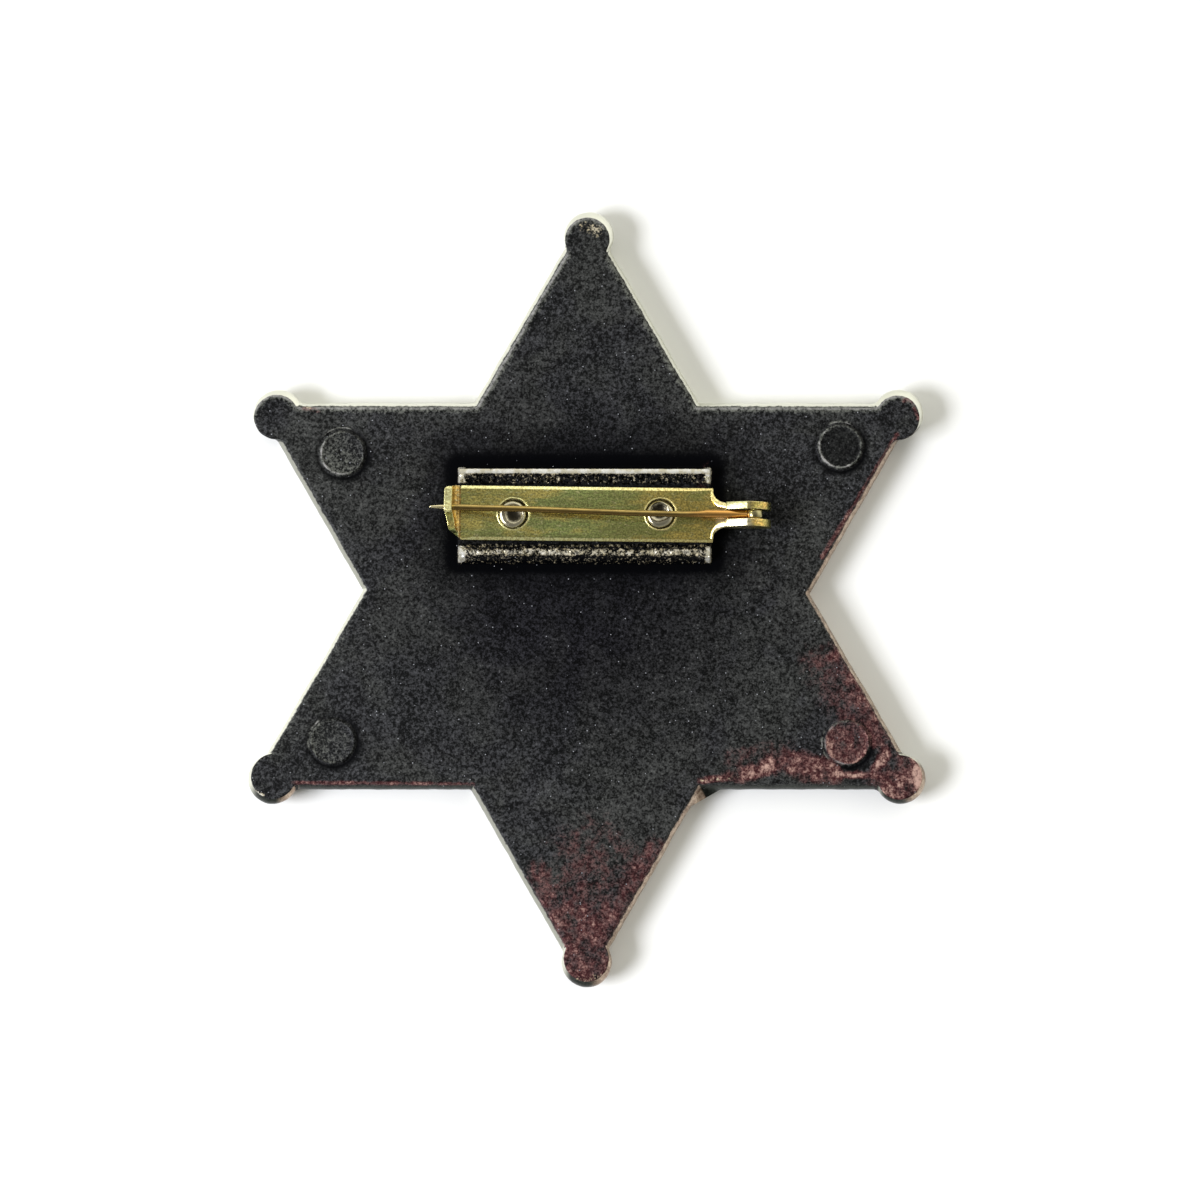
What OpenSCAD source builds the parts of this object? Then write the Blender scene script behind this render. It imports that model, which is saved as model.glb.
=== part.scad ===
// Six-point star badge with balls on its tips, lying face down.
// +Z points out of the badge's back, +Y to the top point, and the origin is the
// star's centre on the plane that the front rim and the domed balls rest on.

/* [Star] */
// Distance from the centre to the sharp corners of the back face, before the balls replace them
star_reach = 36.4; // [32:0.1:42]
// Thickness of the casting from the front rim to the back face
star_t = 3; // [2.4:0.1:4]
// How far the side wall swells out past the back face's edge
edge_swell = 0.5; // [0.2:0.05:0.8]
// Width of the raised rim round the front
rim_w = 1.4; // [1:0.1:2.2]
// Depth of the plain field inside the rim
field_drop = 0.5; // [0.3:0.05:0.8]
// Leg of the web of flash left in the lower right inner corner
web_leg = 1.9; // [1:0.1:3]
// Height of that web above the front rim
web_h = 1.6; // [0.8:0.1:2]

/* [Balls] */
// Radius of the ball on each tip
ball_r = 2.4; // [2:0.05:2.8]
// How far a ball's centre lies inside the back face's sharp corner
ball_inset = 1.3; // [0.9:0.05:1.7]
// How much narrower a ball is at the back face than at its middle
ball_taper = 0.22; // [0.1:0.02:0.4]
// How much wider than the ball the sphere is that domes its front
dome_extra = 0.2; // [0.1:0.05:0.4]
// How deep a ball's side stands in the end of its arm
ball_bite = 0.2; // [0.1:0.05:0.4]

/* [Ejector discs] */
// Radius of each raised disc on the back
disc_r = 2.18; // [1.8:0.02:2.5]
// Height of a disc above the back face
disc_h = 0.25; // [0.15:0.05:0.4]

/* [Pad] */
// Length of the raised pad between the outer edges of its crests
pad_l = 24.3; // [22:0.1:27]
// Width of the pad between the outer edges of its crests
pad_w = 8.7; // [8:0.1:10.5]
// Height of the crests above the back face
pad_h = 1.3; // [1.15:0.05:1.6]
// Height of the floor between the crests, which carries the bar
pad_floor = 0.85; // [0.6:0.05:1]
// Width of each crest
crest_w = 0.4; // [0.3:0.05:0.6]
// How far the pad's foot stands out past its crests
pad_foot = 0.35; // [0.1:0.05:0.5]
// Distance of the pad's middle above the star's centre
pad_y = 7.84; // [6.5:0.1:9]
// Distance of the pad's middle to the left of the star's centre line
pad_left = 0.22; // [0:0.02:0.5]

/* [Bar pin] */
// Thickness of the bar's sheet
sheet_t = 0.7; // [0.6:0.02:0.8]
// Length of the bar's flat from the catch's bend to the shoulders
bar_l = 24.2; // [22.5:0.1:26]
// Width of the bar
bar_w = 5.22; // [4.8:0.02:5.6]
// How far the bar sits askew on the pad, clockwise seen from the back
bar_skew = 0.6; // [0:0.1:0.8]
// Distance between the two studs that hold the bar
stud_gap = 14.12; // [12.5:0.1:15.5]
// Radius of a stud's shank
stud_r = 1.05; // [0.9:0.01:1.15]
// Radius of a stud's head
stud_head_r = 1.34; // [1.28:0.01:1.4]
// Height of a stud's head
stud_head_h = 0.5; // [0.4:0.05:0.6]
// Radius of the ball that would press the dimple in a stud's head
dimple_r = 0.55; // [0.4:0.05:0.7]
// Radius of the sunk seat round each hole in the bar
seat_r = 1.62; // [1.55:0.01:1.75]
// Depth of that seat
seat_drop = 0.3; // [0.2:0.02:0.35]

/* [Catch] */
// Inside radius of the bend that turns the bar's end up
bend_r = 0.75; // [0.6:0.05:1]
// Width of the catch's tall arm from its free end to its back edge
arm_w = 2.55; // [2.2:0.05:2.8]
// How far the arm's free end lies past the bar's centre line
arm_over = 0.24; // [0:0.02:0.5]
// Metal left above the needle's slot
arm_t = 0.75; // [0.6:0.05:0.9]
// Radius of the arm's top corners
arm_corner = 0.35; // [0.2:0.05:0.5]
// Distance from the centre line to the low lip's outer edge
lip_out = 2.25; // [1.8:0.05:2.5]

/* [Hinge] */
// Length of the ears past the bar's shoulders
ear_l = 5.55; // [5:0.05:6.2]
// Height of the ears above the bar's underside
ear_h = 3.3; // [3:0.05:3.8]
// Height of an ear where it leaves its neck, from which it slopes up to its top
ear_foot = 2.3; // [1.8:0.1:2.7]
// Radius of the ears' rounded ends
ear_r = 2.4; // [2:0.05:2.7]
// Radius of the hollows that narrow the bar down to the ears
neck_r = 1.2; // [0.9:0.05:1.4]
// Distance from the shoulders to the hinge's axis
hinge_l = 3.9; // [3.5:0.05:4.2]
// Radius of the rivet through the ears
rivet_r = 0.3; // [0.24:0.01:0.34]

/* [Needle] */
// Height of the needle's centre above the bar
needle_rise = 1.5; // [1.45:0.05:1.7]
// Radius of the needle along its length
needle_r = 0.3; // [0.26:0.01:0.34]
// Radius of the needle's thicker root
root_r = 0.37; // [0.35:0.01:0.4]
// Length of the root from the hinge's axis
root_l = 4.6; // [4:0.1:6]
// Radius of the flat eye round the rivet
eye_r = 0.78; // [0.72:0.01:0.85]
// How far the needle lies off the bar's centre line where it meets the catch
needle_off = 0.36; // [0.2:0.02:0.5]
// Length of the sharpened point
point_l = 2.8; // [2:0.1:3.5]
// How far the point sticks out past the catch
point_out = 1.4; // [0.8:0.1:2]
// Radius left at the very tip
tip_r = 0.04; // [0.03:0.01:0.08]

/* [Clearances] */
// Gap between the bar and the pad under it
bar_gap = 0.02; // [0.01:0.01:0.05]
// Gap between the bar's edges and the slopes beside it
bar_side_gap = 0.25; // [0.15:0.05:0.4]
// Gap round a stud's shank
stud_play = 0.15; // [0.12:0.01:0.18]
// Gap under a stud's head
head_gap = 0.02; // [0.01:0.01:0.05]
// Gap round the needle in the catch
catch_play = 0.1; // [0.06:0.02:0.16]
// Gap between the needle's root and each ear
ear_play = 0.1; // [0.08:0.01:0.14]
// Gap between the rivet and the needle's eye
hinge_play = 0.05; // [0.03:0.01:0.08]
// Gap between the rivet and the ears
rivet_gap = 0.01; // [0.01:0.01:0.02]

/* [Hidden] */
$fn = 64;
// Side wall of the casting from front to back: [share of the thickness, share of the swell]
EDGE = [[0, 0.5], [0.14, 0.9], [0.32, 1], [0.55, 0.9], [0.8, 0.5], [1, 0]];
// Ejector discs, one near each side point: [direction in degrees, share of the reach]
DISCS = [[30.7, 0.782], [149.7, 0.752], [209.8, 0.772], [330.7, 0.788]];
ARMS = 6;
// An inner corner's distance from the centre as a share of the reach
VALLEY = 1 / sqrt(3);
through = 1;

ball_out = star_reach - ball_inset;
dome_r = ball_r + dome_extra;
ball_back_r = ball_r - ball_taper;
front_reach = star_reach + 2 * edge_swell * EDGE[0][1];
widest_reach = star_reach + 2 * edge_swell;
field_reach = front_reach - 2 * rim_w;

bar_z = star_t + pad_floor + bar_gap;
channel_w = bar_w + 2 * bar_side_gap;
needle_z = sheet_t + needle_rise;
catch_out = bar_l / 2 + bend_r + sheet_t;
slot_h = 2 * (needle_r + catch_play);
catch_h = needle_z + slot_h / 2 + arm_t;
ear_gap = 2 * (root_r + ear_play);
ear_w = ear_gap + 2 * sheet_t;
hinge_x = bar_l / 2 + hinge_l;
needle_turn = atan(needle_off / (hinge_x + catch_out));
needle_l = (hinge_x + catch_out + point_out) / cos(needle_turn);

// One level of the star's outline, at height z and with its sharp corners at the given reach
function star_ring(reach, z) = [
    for (i = [0:2 * ARMS - 1])
        let (r = i % 2 == 0 ? reach : reach * VALLEY, a = 90 - 30 * i)
            [r * cos(a), r * sin(a), z]
];

module star_outline(reach) {
    rotate([0, 0, 90])
        circle(r = reach, $fn = 3);
    rotate([0, 0, -90])
        circle(r = reach, $fn = 3);
}

// The star with its swelling side wall and still with sharp points
module sharp_star() {
    levels = len(EDGE);
    ring = 2 * ARMS;
    front_middle = levels * ring;
    back_middle = front_middle + 1;
    back_ring = (levels - 1) * ring;
    points = [
        for (e = EDGE)
            each star_ring(star_reach + 2 * edge_swell * e[1], star_t * e[0]),
        [0, 0, 0],
        [0, 0, star_t]
    ];
    sides = [
        for (k = [0:levels - 2], i = [0:ring - 1])
            let (j = (i + 1) % ring)
                [k * ring + i, k * ring + j, (k + 1) * ring + j, (k + 1) * ring + i]
    ];
    front = [for (i = [0:ring - 1]) [front_middle, (i + 1) % ring, i]];
    back = [for (i = [0:ring - 1]) [back_middle, back_ring + i, back_ring + (i + 1) % ring]];
    polyhedron(points, concat(sides, front, back), convexity = 4);
}

module on_each_arm() {
    for (a = [0:ARMS - 1])
        rotate([0, 0, 90 + 60 * a])
            translate([ball_out, 0, 0])
                children();
}

// A tip's ball: domed in front, nearly straight at its middle and flat at the back
module ball() {
    shoulder_z = star_t - sqrt(pow(dome_r, 2) - pow(ball_back_r, 2));
    rotate_extrude($fn = 32)
        intersection() {
            square([ball_r, star_t]);
            translate([0, dome_r])
                circle(r = dome_r);
            translate([0, shoulder_z])
                circle(r = dome_r);
        }
}

// Flash in the inner corner between the bottom point and the lower right point
module corner_web() {
    corner = widest_reach * VALLEY;
    rotate([0, 0, -60])
        translate([corner, 0, 0])
            linear_extrude(web_h)
                polygon([
                    [-web_leg / 2, 0],
                    [web_leg * cos(60), web_leg * sin(60)],
                    [web_leg * cos(60), -web_leg * sin(60)]
                ]);
}

// The raised pad's outline across its length: two crests with a floor between them
module pad_section() {
    foot = pad_w / 2 + pad_foot;
    crest = pad_w / 2;
    polygon([
        [-foot, 0],
        [foot, 0],
        [crest, pad_h],
        [crest - crest_w, pad_h],
        [channel_w / 2, pad_floor],
        [-channel_w / 2, pad_floor],
        [-crest + crest_w, pad_h],
        [-crest, pad_h]
    ]);
}

module pad() {
    translate([-pad_left - pad_l / 2, pad_y, star_t])
        rotate([90, 0, 90])
            linear_extrude(pad_l)
                pad_section();
}

// A stud of the casting, with its head spread over the bar
module stud() {
    head_z = bar_z + sheet_t - seat_drop + head_gap;
    cap_r = (pow(stud_head_r, 2) + pow(stud_head_h, 2)) / (2 * stud_head_h);
    difference() {
        union() {
            translate([0, 0, star_t])
                cylinder(r = stud_r, h = head_z - star_t);
            translate([0, 0, head_z])
                rotate_extrude($fn = 32)
                    intersection() {
                        square([stud_head_r, stud_head_h]);
                        translate([0, stud_head_h - cap_r])
                            circle(r = cap_r);
                    }
        }
        translate([0, 0, head_z + stud_head_h + dimple_r / 2])
            sphere(r = dimple_r, $fn = 32);
    }
}

module on_each_stud() {
    for (side = [-1, 1])
        translate([side * stud_gap / 2, 0, 0])
            children();
}

module star_body() {
    color([0.16, 0.16, 0.17])
    union() {
        difference() {
            intersection() {
                sharp_star();
                cylinder(r = ball_out, h = star_t);
            }
            translate([0, 0, -through])
                linear_extrude(field_drop + through)
                    star_outline(field_reach);
            on_each_arm()
                translate([0, 0, -through])
                    cylinder(r = ball_back_r - ball_bite, h = star_t + 2 * through);
        }
        on_each_arm()
            ball();
        corner_web();
        for (d = DISCS)
            rotate([0, 0, d[0]])
                translate([d[1] * star_reach, 0, star_t - disc_h])
                    cylinder(r = disc_r, h = 2 * disc_h);
        pad();
        translate([0, pad_y, 0])
            on_each_stud()
                stud();
    }
}

// Puts what belongs to the bar pin in its place on the pad
module on_pad() {
    translate([0, pad_y, bar_z])
        rotate([0, 0, -bar_skew])
            children();
}

// The bar seen from above, from the bend to the ears' floor
module bar_outline() {
    difference() {
        union() {
            translate([-bar_l / 2, -bar_w / 2])
                square([bar_l, bar_w]);
            translate([0, -ear_w / 2 - neck_r])
                square([bar_l / 2 + neck_r, ear_w + 2 * neck_r]);
        }
        for (side = [-1, 1])
            translate([bar_l / 2 + neck_r, side * (ear_w / 2 + neck_r)])
                circle(r = neck_r);
    }
}

// One ear seen from the side, with the rivet's hole
module ear_outline() {
    end_x = bar_l / 2 + ear_l;
    start_x = bar_l / 2 + neck_r;
    difference() {
        union() {
            polygon([
                [start_x, 0],
                [end_x - ear_r, 0],
                [end_x - ear_r, ear_h],
                [start_x, ear_foot]
            ]);
            intersection() {
                translate([end_x - ear_r, ear_h - ear_r])
                    circle(r = ear_r);
                translate([end_x - ear_r, 0])
                    square([ear_r, ear_h]);
            }
        }
        translate([hinge_x, needle_z])
            circle(r = rivet_r + rivet_gap);
    }
}

// The catch seen from the bar's end: a tall arm, the needle's slot and a low rounded lip
module catch_outline() {
    difference() {
        union() {
            translate([-arm_over, 0])
                square([arm_w, catch_h - arm_corner]);
            translate([-arm_over + arm_corner, 0])
                square([arm_w - 2 * arm_corner, catch_h]);
            for (x = [-arm_over + arm_corner, arm_w - arm_over - arm_corner])
                translate([x, catch_h - arm_corner])
                    circle(r = arm_corner);
            intersection() {
                circle(r = lip_out);
                translate([-lip_out, 0])
                    square([lip_out, needle_z - slot_h / 2]);
            }
        }
        translate([needle_off, needle_z])
            circle(r = slot_h / 2);
        translate([-lip_out, needle_z - slot_h / 2])
            square([lip_out + needle_off, slot_h]);
    }
}

// The sheet seen from the side, solid above its lower face: the flat, the bend and the upright
module sheet_side(inset) {
    out_r = bend_r + sheet_t;
    translate([-bar_l / 2, inset])
        square([bar_l + 2 * through, catch_h]);
    translate([-catch_out + inset, out_r])
        square([bar_l, catch_h]);
    translate([-bar_l / 2, out_r])
        circle(r = out_r - inset);
}

// The bent sheet at the bar's full width, from the catch to past the shoulders
module bent_sheet() {
    rotate([90, 0, 0])
        linear_extrude(bar_w, center = true)
            difference() {
                sheet_side(0);
                sheet_side(sheet_t);
            }
}

// What the bar's outline and the catch's outline leave of that sheet
module sheet_bounds() {
    linear_extrude(sheet_t)
        bar_outline();
    translate([-catch_out - through, 0, 0])
        rotate([90, 0, 90])
            linear_extrude(bend_r + sheet_t + 2 * through)
                catch_outline();
}

module pin_plate() {
    color([0.72, 0.62, 0.28])
    on_pad()
        difference() {
            union() {
                intersection() {
                    bent_sheet();
                    sheet_bounds();
                }
                translate([bar_l / 2, -ear_w / 2, 0])
                    cube([ear_l - ear_r, ear_w, sheet_t]);
                for (y = [-ear_w / 2, ear_gap / 2])
                    translate([0, y + sheet_t, 0])
                        rotate([90, 0, 0])
                            linear_extrude(sheet_t)
                                ear_outline();
            }
            rotate([0, 0, bar_skew])
                on_each_stud() {
                    translate([0, 0, -through])
                        cylinder(r = stud_r + stud_play, h = sheet_t + 2 * through);
                    translate([0, 0, sheet_t - seat_drop])
                        cylinder(r = seat_r, h = seat_drop + through);
                }
        }
}

module at_hinge() {
    on_pad()
        translate([hinge_x, 0, needle_z])
            children();
}

module needle() {
    shank_end = needle_l - point_l;
    taper_l = 2 * root_r;
    color([0.66, 0.47, 0.25])
    at_hinge()
        difference() {
            union() {
                rotate([90, 0, 0])
                    cylinder(r = eye_r, h = 2 * root_r, center = true);
                rotate([0, -90, -needle_turn]) {
                    cylinder(r = root_r, h = root_l);
                    translate([0, 0, root_l])
                        cylinder(r1 = root_r, r2 = needle_r, h = taper_l);
                    translate([0, 0, root_l + taper_l])
                        cylinder(r = needle_r, h = shank_end - root_l - taper_l);
                    translate([0, 0, shank_end])
                        cylinder(r1 = needle_r, r2 = tip_r, h = point_l);
                }
            }
            rotate([90, 0, 0])
                cylinder(r = rivet_r + hinge_play, h = 4 * root_r, center = true);
        }
}

module hinge_rivet() {
    color([0.74, 0.7, 0.56])
    at_hinge()
        rotate([90, 0, 0])
            cylinder(r = rivet_r, h = ear_w, center = true);
}

star_body();
pin_plate();
needle();
hinge_rivet();
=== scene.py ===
import math

import bmesh
import bpy
import numpy as np
from mathutils import Matrix, Vector, noise
from mathutils.geometry import delaunay_2d_cdt


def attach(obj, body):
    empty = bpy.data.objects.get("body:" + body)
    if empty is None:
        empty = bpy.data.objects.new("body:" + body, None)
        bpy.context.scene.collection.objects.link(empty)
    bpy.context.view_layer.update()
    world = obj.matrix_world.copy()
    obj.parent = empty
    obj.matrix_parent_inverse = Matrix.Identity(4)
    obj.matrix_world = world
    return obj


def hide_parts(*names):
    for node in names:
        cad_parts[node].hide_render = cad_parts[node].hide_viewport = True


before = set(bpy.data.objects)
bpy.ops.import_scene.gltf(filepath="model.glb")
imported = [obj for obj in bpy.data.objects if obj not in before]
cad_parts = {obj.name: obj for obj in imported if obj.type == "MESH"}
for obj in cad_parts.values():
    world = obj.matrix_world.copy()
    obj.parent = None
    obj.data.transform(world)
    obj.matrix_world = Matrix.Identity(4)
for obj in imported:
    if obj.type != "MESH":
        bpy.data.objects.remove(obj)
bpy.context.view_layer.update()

MM = 0.001
FAR = 1000.0

# Sizes of the solids, in millimetres, as the part's source has them
STAR_REACH = 36.4
STAR_T = 3.0
BALL_OUT = 35.1
BALL_BACK_R = 2.18
DOME_R = 2.6
RIM_W = 1.4
FIELD_DROP = 0.5
WEB_LEG = 1.9
WEB_H = 1.6
DISC_R = 2.18
DISC_H = 0.25
# Each disc: (its direction in degrees, its distance from the centre as a share of the star's reach)
DISCS = [(30.7, 0.782), (149.7, 0.752), (209.8, 0.772), (330.7, 0.788)]
PAD_X0 = -12.37
PAD_X1 = 11.93
PAD_Y = 7.84
STUD_X = 7.06
STUD_R = 1.05
STUD_HEAD_Z = 4.29
HINGE = Vector((15.99912, 7.67245, 6.07))
NEEDLE_DIR = Vector((-0.9997434, 0.0226522, 0))
NEEDLE_R = 0.3
ROOT_R = 0.4
ROOT_L = 4.6
NEEDLE_L = 31.15
POINT_L = 2.8
EYE_R = 0.78
RIVET_R = 0.3


def clamp01(x):
    return np.clip(x, 0.0, 1.0)


def ease(a, b, x):
    t = clamp01((np.asarray(x, float) - a) / (b - a))
    return t * t * (3 - 2 * t)


def roughen(x, y, size, seed=0.0):
    """Smooth noise between -1 and 1 at each point, with waves about size mm long."""
    return np.array([noise.noise(Vector((a / size, b / size, seed))) for a, b in zip(x, y)])


def bell(x, middle, wide):
    return np.exp(-(((x - middle) / wide) ** 2))


def band(x, start, full, fade, end):
    """Rises from start to full and falls again from fade to end."""
    return ease(start, full, x) * ease(end, fade, x)


def heading(a):
    return np.array([math.cos(a), math.sin(a)])


BALL_WAYS = [math.radians(30 + 60 * k) for k in range(6)]
BALL_CENTRES = [BALL_OUT * heading(a) for a in BALL_WAYS]
DISC_CENTRES = [STAR_REACH * share * heading(math.radians(direction)) for direction, share in DISCS]


# Outline of the star

NECK_R = 0.7
VALLEY_R = 0.3
EDGE_STEPS = 58
NECK_STEPS = 8
BALL_STEPS = 44
VALLEY_STEPS = 4
# Side wall from the back to the front:
# (arm's offset, arm's z, ball's radius, ball's z, ball's distance from the star's centre)
WALL = [
    (-0.17, 3.0, 2.0, 3.0, 34.72),
    (-0.09, 2.985, 2.08, 2.985, 34.72),
    (-0.03, 2.94, 2.15, 2.945, 34.72),
    (0.02, 2.87, 2.2, 2.87, 34.73),
    (0.13, 2.7, 2.26, 2.73, 34.8),
    (0.34, 2.4, 2.34, 2.5, 34.93),
    (0.5, 2.0, 2.39, 2.2, 35.03),
    (0.57, 1.65, 2.41, 1.95, 35.09),
    (0.57, 1.2, 2.41, 1.75, 35.1),
    (0.5, 0.6, 2.4, 1.6, 35.1),
    (0.4, 0.25, 2.33, 1.446, 35.1),
    (0.27, 0.06, 2.2, 1.214, 35.1),
    (0.12, 0.0, 2.05, 1.001, 35.1),
    (-0.05, 0.0, 1.9, 0.825, 35.1),
]
# How far each straight edge of the real casting lies off a perfect star: (clockwise side, other side)
# of the points at 30, 90, 150, 210, 270 and 330 degrees
EDGE_OFF = [(-0.22, 0.14), (0.1, 0.2), (0.1, -0.3), (0.34, -0.16), (0.22, 0.04), (-0.2, 0.1)]
# How far the lower part of each ball leans from its flat back: (x, y)
BALL_LEAN = [(-0.1, 0.28), (0.16, 0.12), (0.38, 0.18), (0.18, -0.06), (0.04, 0.0), (-0.12, 0.0)]


def side_line(arm, side, offset):
    """One straight edge as its outward normal and its distance from the centre."""
    reach = STAR_REACH / 2 + offset + EDGE_OFF[arm % 6][(side + 1) // 2]
    return heading(math.radians(30 + 60 * arm + 60 * side)), reach


def meeting(line_a, line_b):
    return np.linalg.solve(np.array([line_a[0], line_b[0]]), np.array([line_a[1], line_b[1]]))


def arm_side(arm, side, offset, ball_r, ball_out, lean):
    """One side of an arm from its inner corner to the ball's outer end: points and ballness."""
    way = math.radians(30 + 60 * arm)
    line = side_line(arm, side, offset)
    corner = meeting(line, side_line(arm + side, -side, offset))
    normal, reach = line
    ball = ball_out * heading(way) + lean * np.array(BALL_LEAN[arm])
    d = np.array([-normal[1], normal[0]]) * -side
    lift = reach - normal @ ball
    start = corner + d * VALLEY_R / math.tan(math.radians(60))
    along = math.sqrt((ball_r + NECK_R) ** 2 - (NECK_R + lift) ** 2)
    tangent = ball + normal * lift - d * along
    centre = tangent + normal * NECK_R
    points = [start + (tangent - start) * k / EDGE_STEPS for k in range(EDGE_STEPS + 1)]
    ballness = [0.0] * (EDGE_STEPS + 1)
    a0 = math.atan2(-normal[1], -normal[0])
    to_ball = ball - centre
    turn = (math.atan2(to_ball[1], to_ball[0]) - a0 + math.pi) % (2 * math.pi) - math.pi
    for k in range(1, NECK_STEPS + 1):
        a = a0 + turn * k / NECK_STEPS
        points.append(centre + NECK_R * heading(a))
        ballness.append(k / NECK_STEPS)
    out = centre - ball
    b0 = math.atan2(out[1], out[0])
    sweep = (way - b0 + math.pi) % (2 * math.pi) - math.pi
    for k in range(1, BALL_STEPS // 2 + 1):
        a = b0 + sweep * k / (BALL_STEPS // 2)
        points.append(ball + ball_r * heading(a))
        ballness.append(1.0)
    return points, ballness


def whole_outline(offset, ball_r, ball_out, lean=0.0):
    """The closed outline at one level, counter-clockwise, with its ballness."""
    points, ballness = [], []
    for arm in range(6):
        right, right_ball = arm_side(arm, -1, offset, ball_r, ball_out, lean)
        left, left_ball = arm_side(arm, 1, offset, ball_r, ball_out, lean)
        points += right + left[-2::-1]
        ballness += right_ball + left_ball[-2::-1]
        corner = meeting(side_line(arm, 1, offset), side_line(arm + 1, -1, offset))
        middle = math.radians(60 + 60 * arm)
        out = heading(middle)
        centre = corner + out * VALLEY_R / math.sin(math.radians(60))
        for k in range(1, VALLEY_STEPS + 1):
            a = middle + math.radians(210 - 60 * k / (VALLEY_STEPS + 1))
            points.append(centre + VALLEY_R * heading(a))
            ballness.append(0.0)
    return np.array(points), np.array(ballness)


def star_depth(x, y, reach):
    """How far a point lies inside a sharp six-point star of that reach, in mm; negative outside."""
    depth = np.full(np.shape(x), -FAR)
    for first in (90, 30):
        worst = np.full(np.shape(x), -FAR)
        for k in range(3):
            a = math.radians(first + 120 * k + 180)
            worst = np.maximum(worst, x * math.cos(a) + y * math.sin(a))
        depth = np.maximum(depth, reach / 2 - worst)
    return depth


def edge_depth(x, y):
    """How far a point of the back lies inside the edge, balls and all, in mm; negative outside."""
    depth = star_depth(x, y, STAR_REACH)
    for bx, by in BALL_CENTRES:
        depth = np.maximum(depth, BALL_BACK_R - np.hypot(x - bx, y - by))
    return depth


# Relief of the back and the front

# The pad across its width, above the bar and below it: (distance from its middle, height above the back)
UPPER_SIDE = [
    (0.0, 0.82), (2.8, 0.82), (2.92, 0.85), (3.4, 0.98), (3.8, 1.12), (3.93, 1.24), (4.02, 1.3),
    (4.24, 1.3), (4.34, 1.25), (4.42, 1.03), (4.6, 0.2), (4.7, 0.05), (4.8, 0.0),
]
LOWER_SIDE = [
    (0.0, 0.82), (2.8, 0.82), (2.9, 0.86), (3.05, 0.98), (3.2, 1.15), (3.34, 1.25), (3.9, 1.26),
    (4.06, 1.16), (4.3, 0.8), (4.6, 0.3), (4.75, 0.07), (4.85, 0.0),
]
# Bands across the pad, below the bar and above it, by the distance from its middle:
# (start, full, fade, end). The first three shape its relief, and the worn ones bear bare zinc.
PAD_BANDS = {
    "slope": [(2.86, 2.95, 3.15, 3.3), (2.86, 3.0, 3.8, 3.98)],
    "crest": [(3.2, 3.35, 3.95, 4.2), (3.85, 4.0, 4.3, 4.5)],
    "wall": [(4.0, 4.15, 4.65, 4.85), (4.3, 4.4, 4.65, 4.85)],
    "worn_slope": [(2.8, 2.95, 3.15, 3.3), (2.9, 3.1, 3.8, 4.0)],
    "worn_wall": [(4.0, 4.15, 4.6, 4.9), (4.34, 4.42, 4.5, 4.75)],
}
# The rim and the moat of each disc: (radius, half width, height)
DISC_BUMPS = [(2.02, 0.07, 0.07), (2.36, 0.12, -0.06)]
# Burrs round the discs: (disc, radius, first and last direction in degrees, height)
BURRS = [
    (1, 2.5, 70, 140, 0.07),
    (0, 2.42, 60, 115, 0.08),
    (0, 2.9, 35, 60, 0.06),
    (2, 2.35, 120, 200, 0.07),
    (3, 2.4, 150, 230, 0.05),
]


def pad_band(name, y):
    """How much each point belongs to one band across the pad, between 0 and 1."""
    across = np.abs(y - PAD_Y)
    lower, upper = (band(across, *limits) for limits in PAD_BANDS[name])
    return np.where(y < PAD_Y, lower, upper)


def pad_height(x, y):
    """Height of the pad's relief above the back face, with its pitted crests."""
    across = np.abs(y - PAD_Y)
    lower = y < PAD_Y
    sides = [np.interp(across, *zip(*side)) for side in (LOWER_SIDE, UPPER_SIDE)]
    height = np.where(lower, *sides)
    ends = band(x, PAD_X0 - 0.12, PAD_X0 + 0.12, PAD_X1 - 0.12, PAD_X1 + 0.12)
    fine = roughen(x, y, 0.28, 3.0)
    broad = roughen(x, y, 0.9, 7.0)
    slope = pad_band("slope", y)
    pits = ease(0.0, 0.45, fine) * slope * 0.32
    lumps = ease(0.1, 0.6, broad) * slope * 0.12
    chip_depth = np.where(lower, 0.2, 0.03)
    chips = ease(0.05, 0.45, roughen(x, y, 0.33, 11.0)) * pad_band("crest", y) * chip_depth
    height = height - pits + lumps - chips + pad_band("wall", y) * fine * 0.1
    return np.maximum(height * ends, 0.0)


def burr_part(disc, away, turn, wide, even=False):
    """How much each point lies on one disc's burrs, by their heights or evenly: turn is in degrees."""
    part = np.zeros(np.shape(away))
    for number, radius, first, last, high in BURRS:
        if number == disc:
            there = band(turn, first - 8, first + 8, last - 8, last + 8) * bell(away, radius, wide)
            part = np.maximum(part, there) if even else part + high * there
    return part


def disc_height(x, y):
    """Height of the ejector discs above the back, with their thin rims and burrs."""
    height = np.zeros(np.shape(x))
    for k, (cx, cy) in enumerate(DISC_CENTRES):
        away = np.hypot(x - cx, y - cy)
        turn = np.degrees(np.arctan2(y - cy, x - cx)) % 360
        ragged = roughen(np.cos(np.radians(turn)) * 3, np.sin(np.radians(turn)) * 3, 1.0, 20.0 + k)
        away = away - 0.07 * ragged
        height = height + DISC_H * ease(DISC_R + 0.05, DISC_R - 0.07, away) - 0.05 * ease(2.0, 1.5, away)
        for radius, wide, high in DISC_BUMPS:
            height = height + high * bell(away, radius, wide)
        height = height + burr_part(k, away, turn, 0.09)
    return height


def back_z(x, y):
    wave = 0.025 * roughen(x, y, 6.0, 1.0) + 0.012 * roughen(x, y, 1.6, 2.0)
    flat = STAR_T - 0.01 + wave * ease(0.2, 1.2, edge_depth(x, y))
    return flat + pad_height(x, y) + disc_height(x, y)


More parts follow.
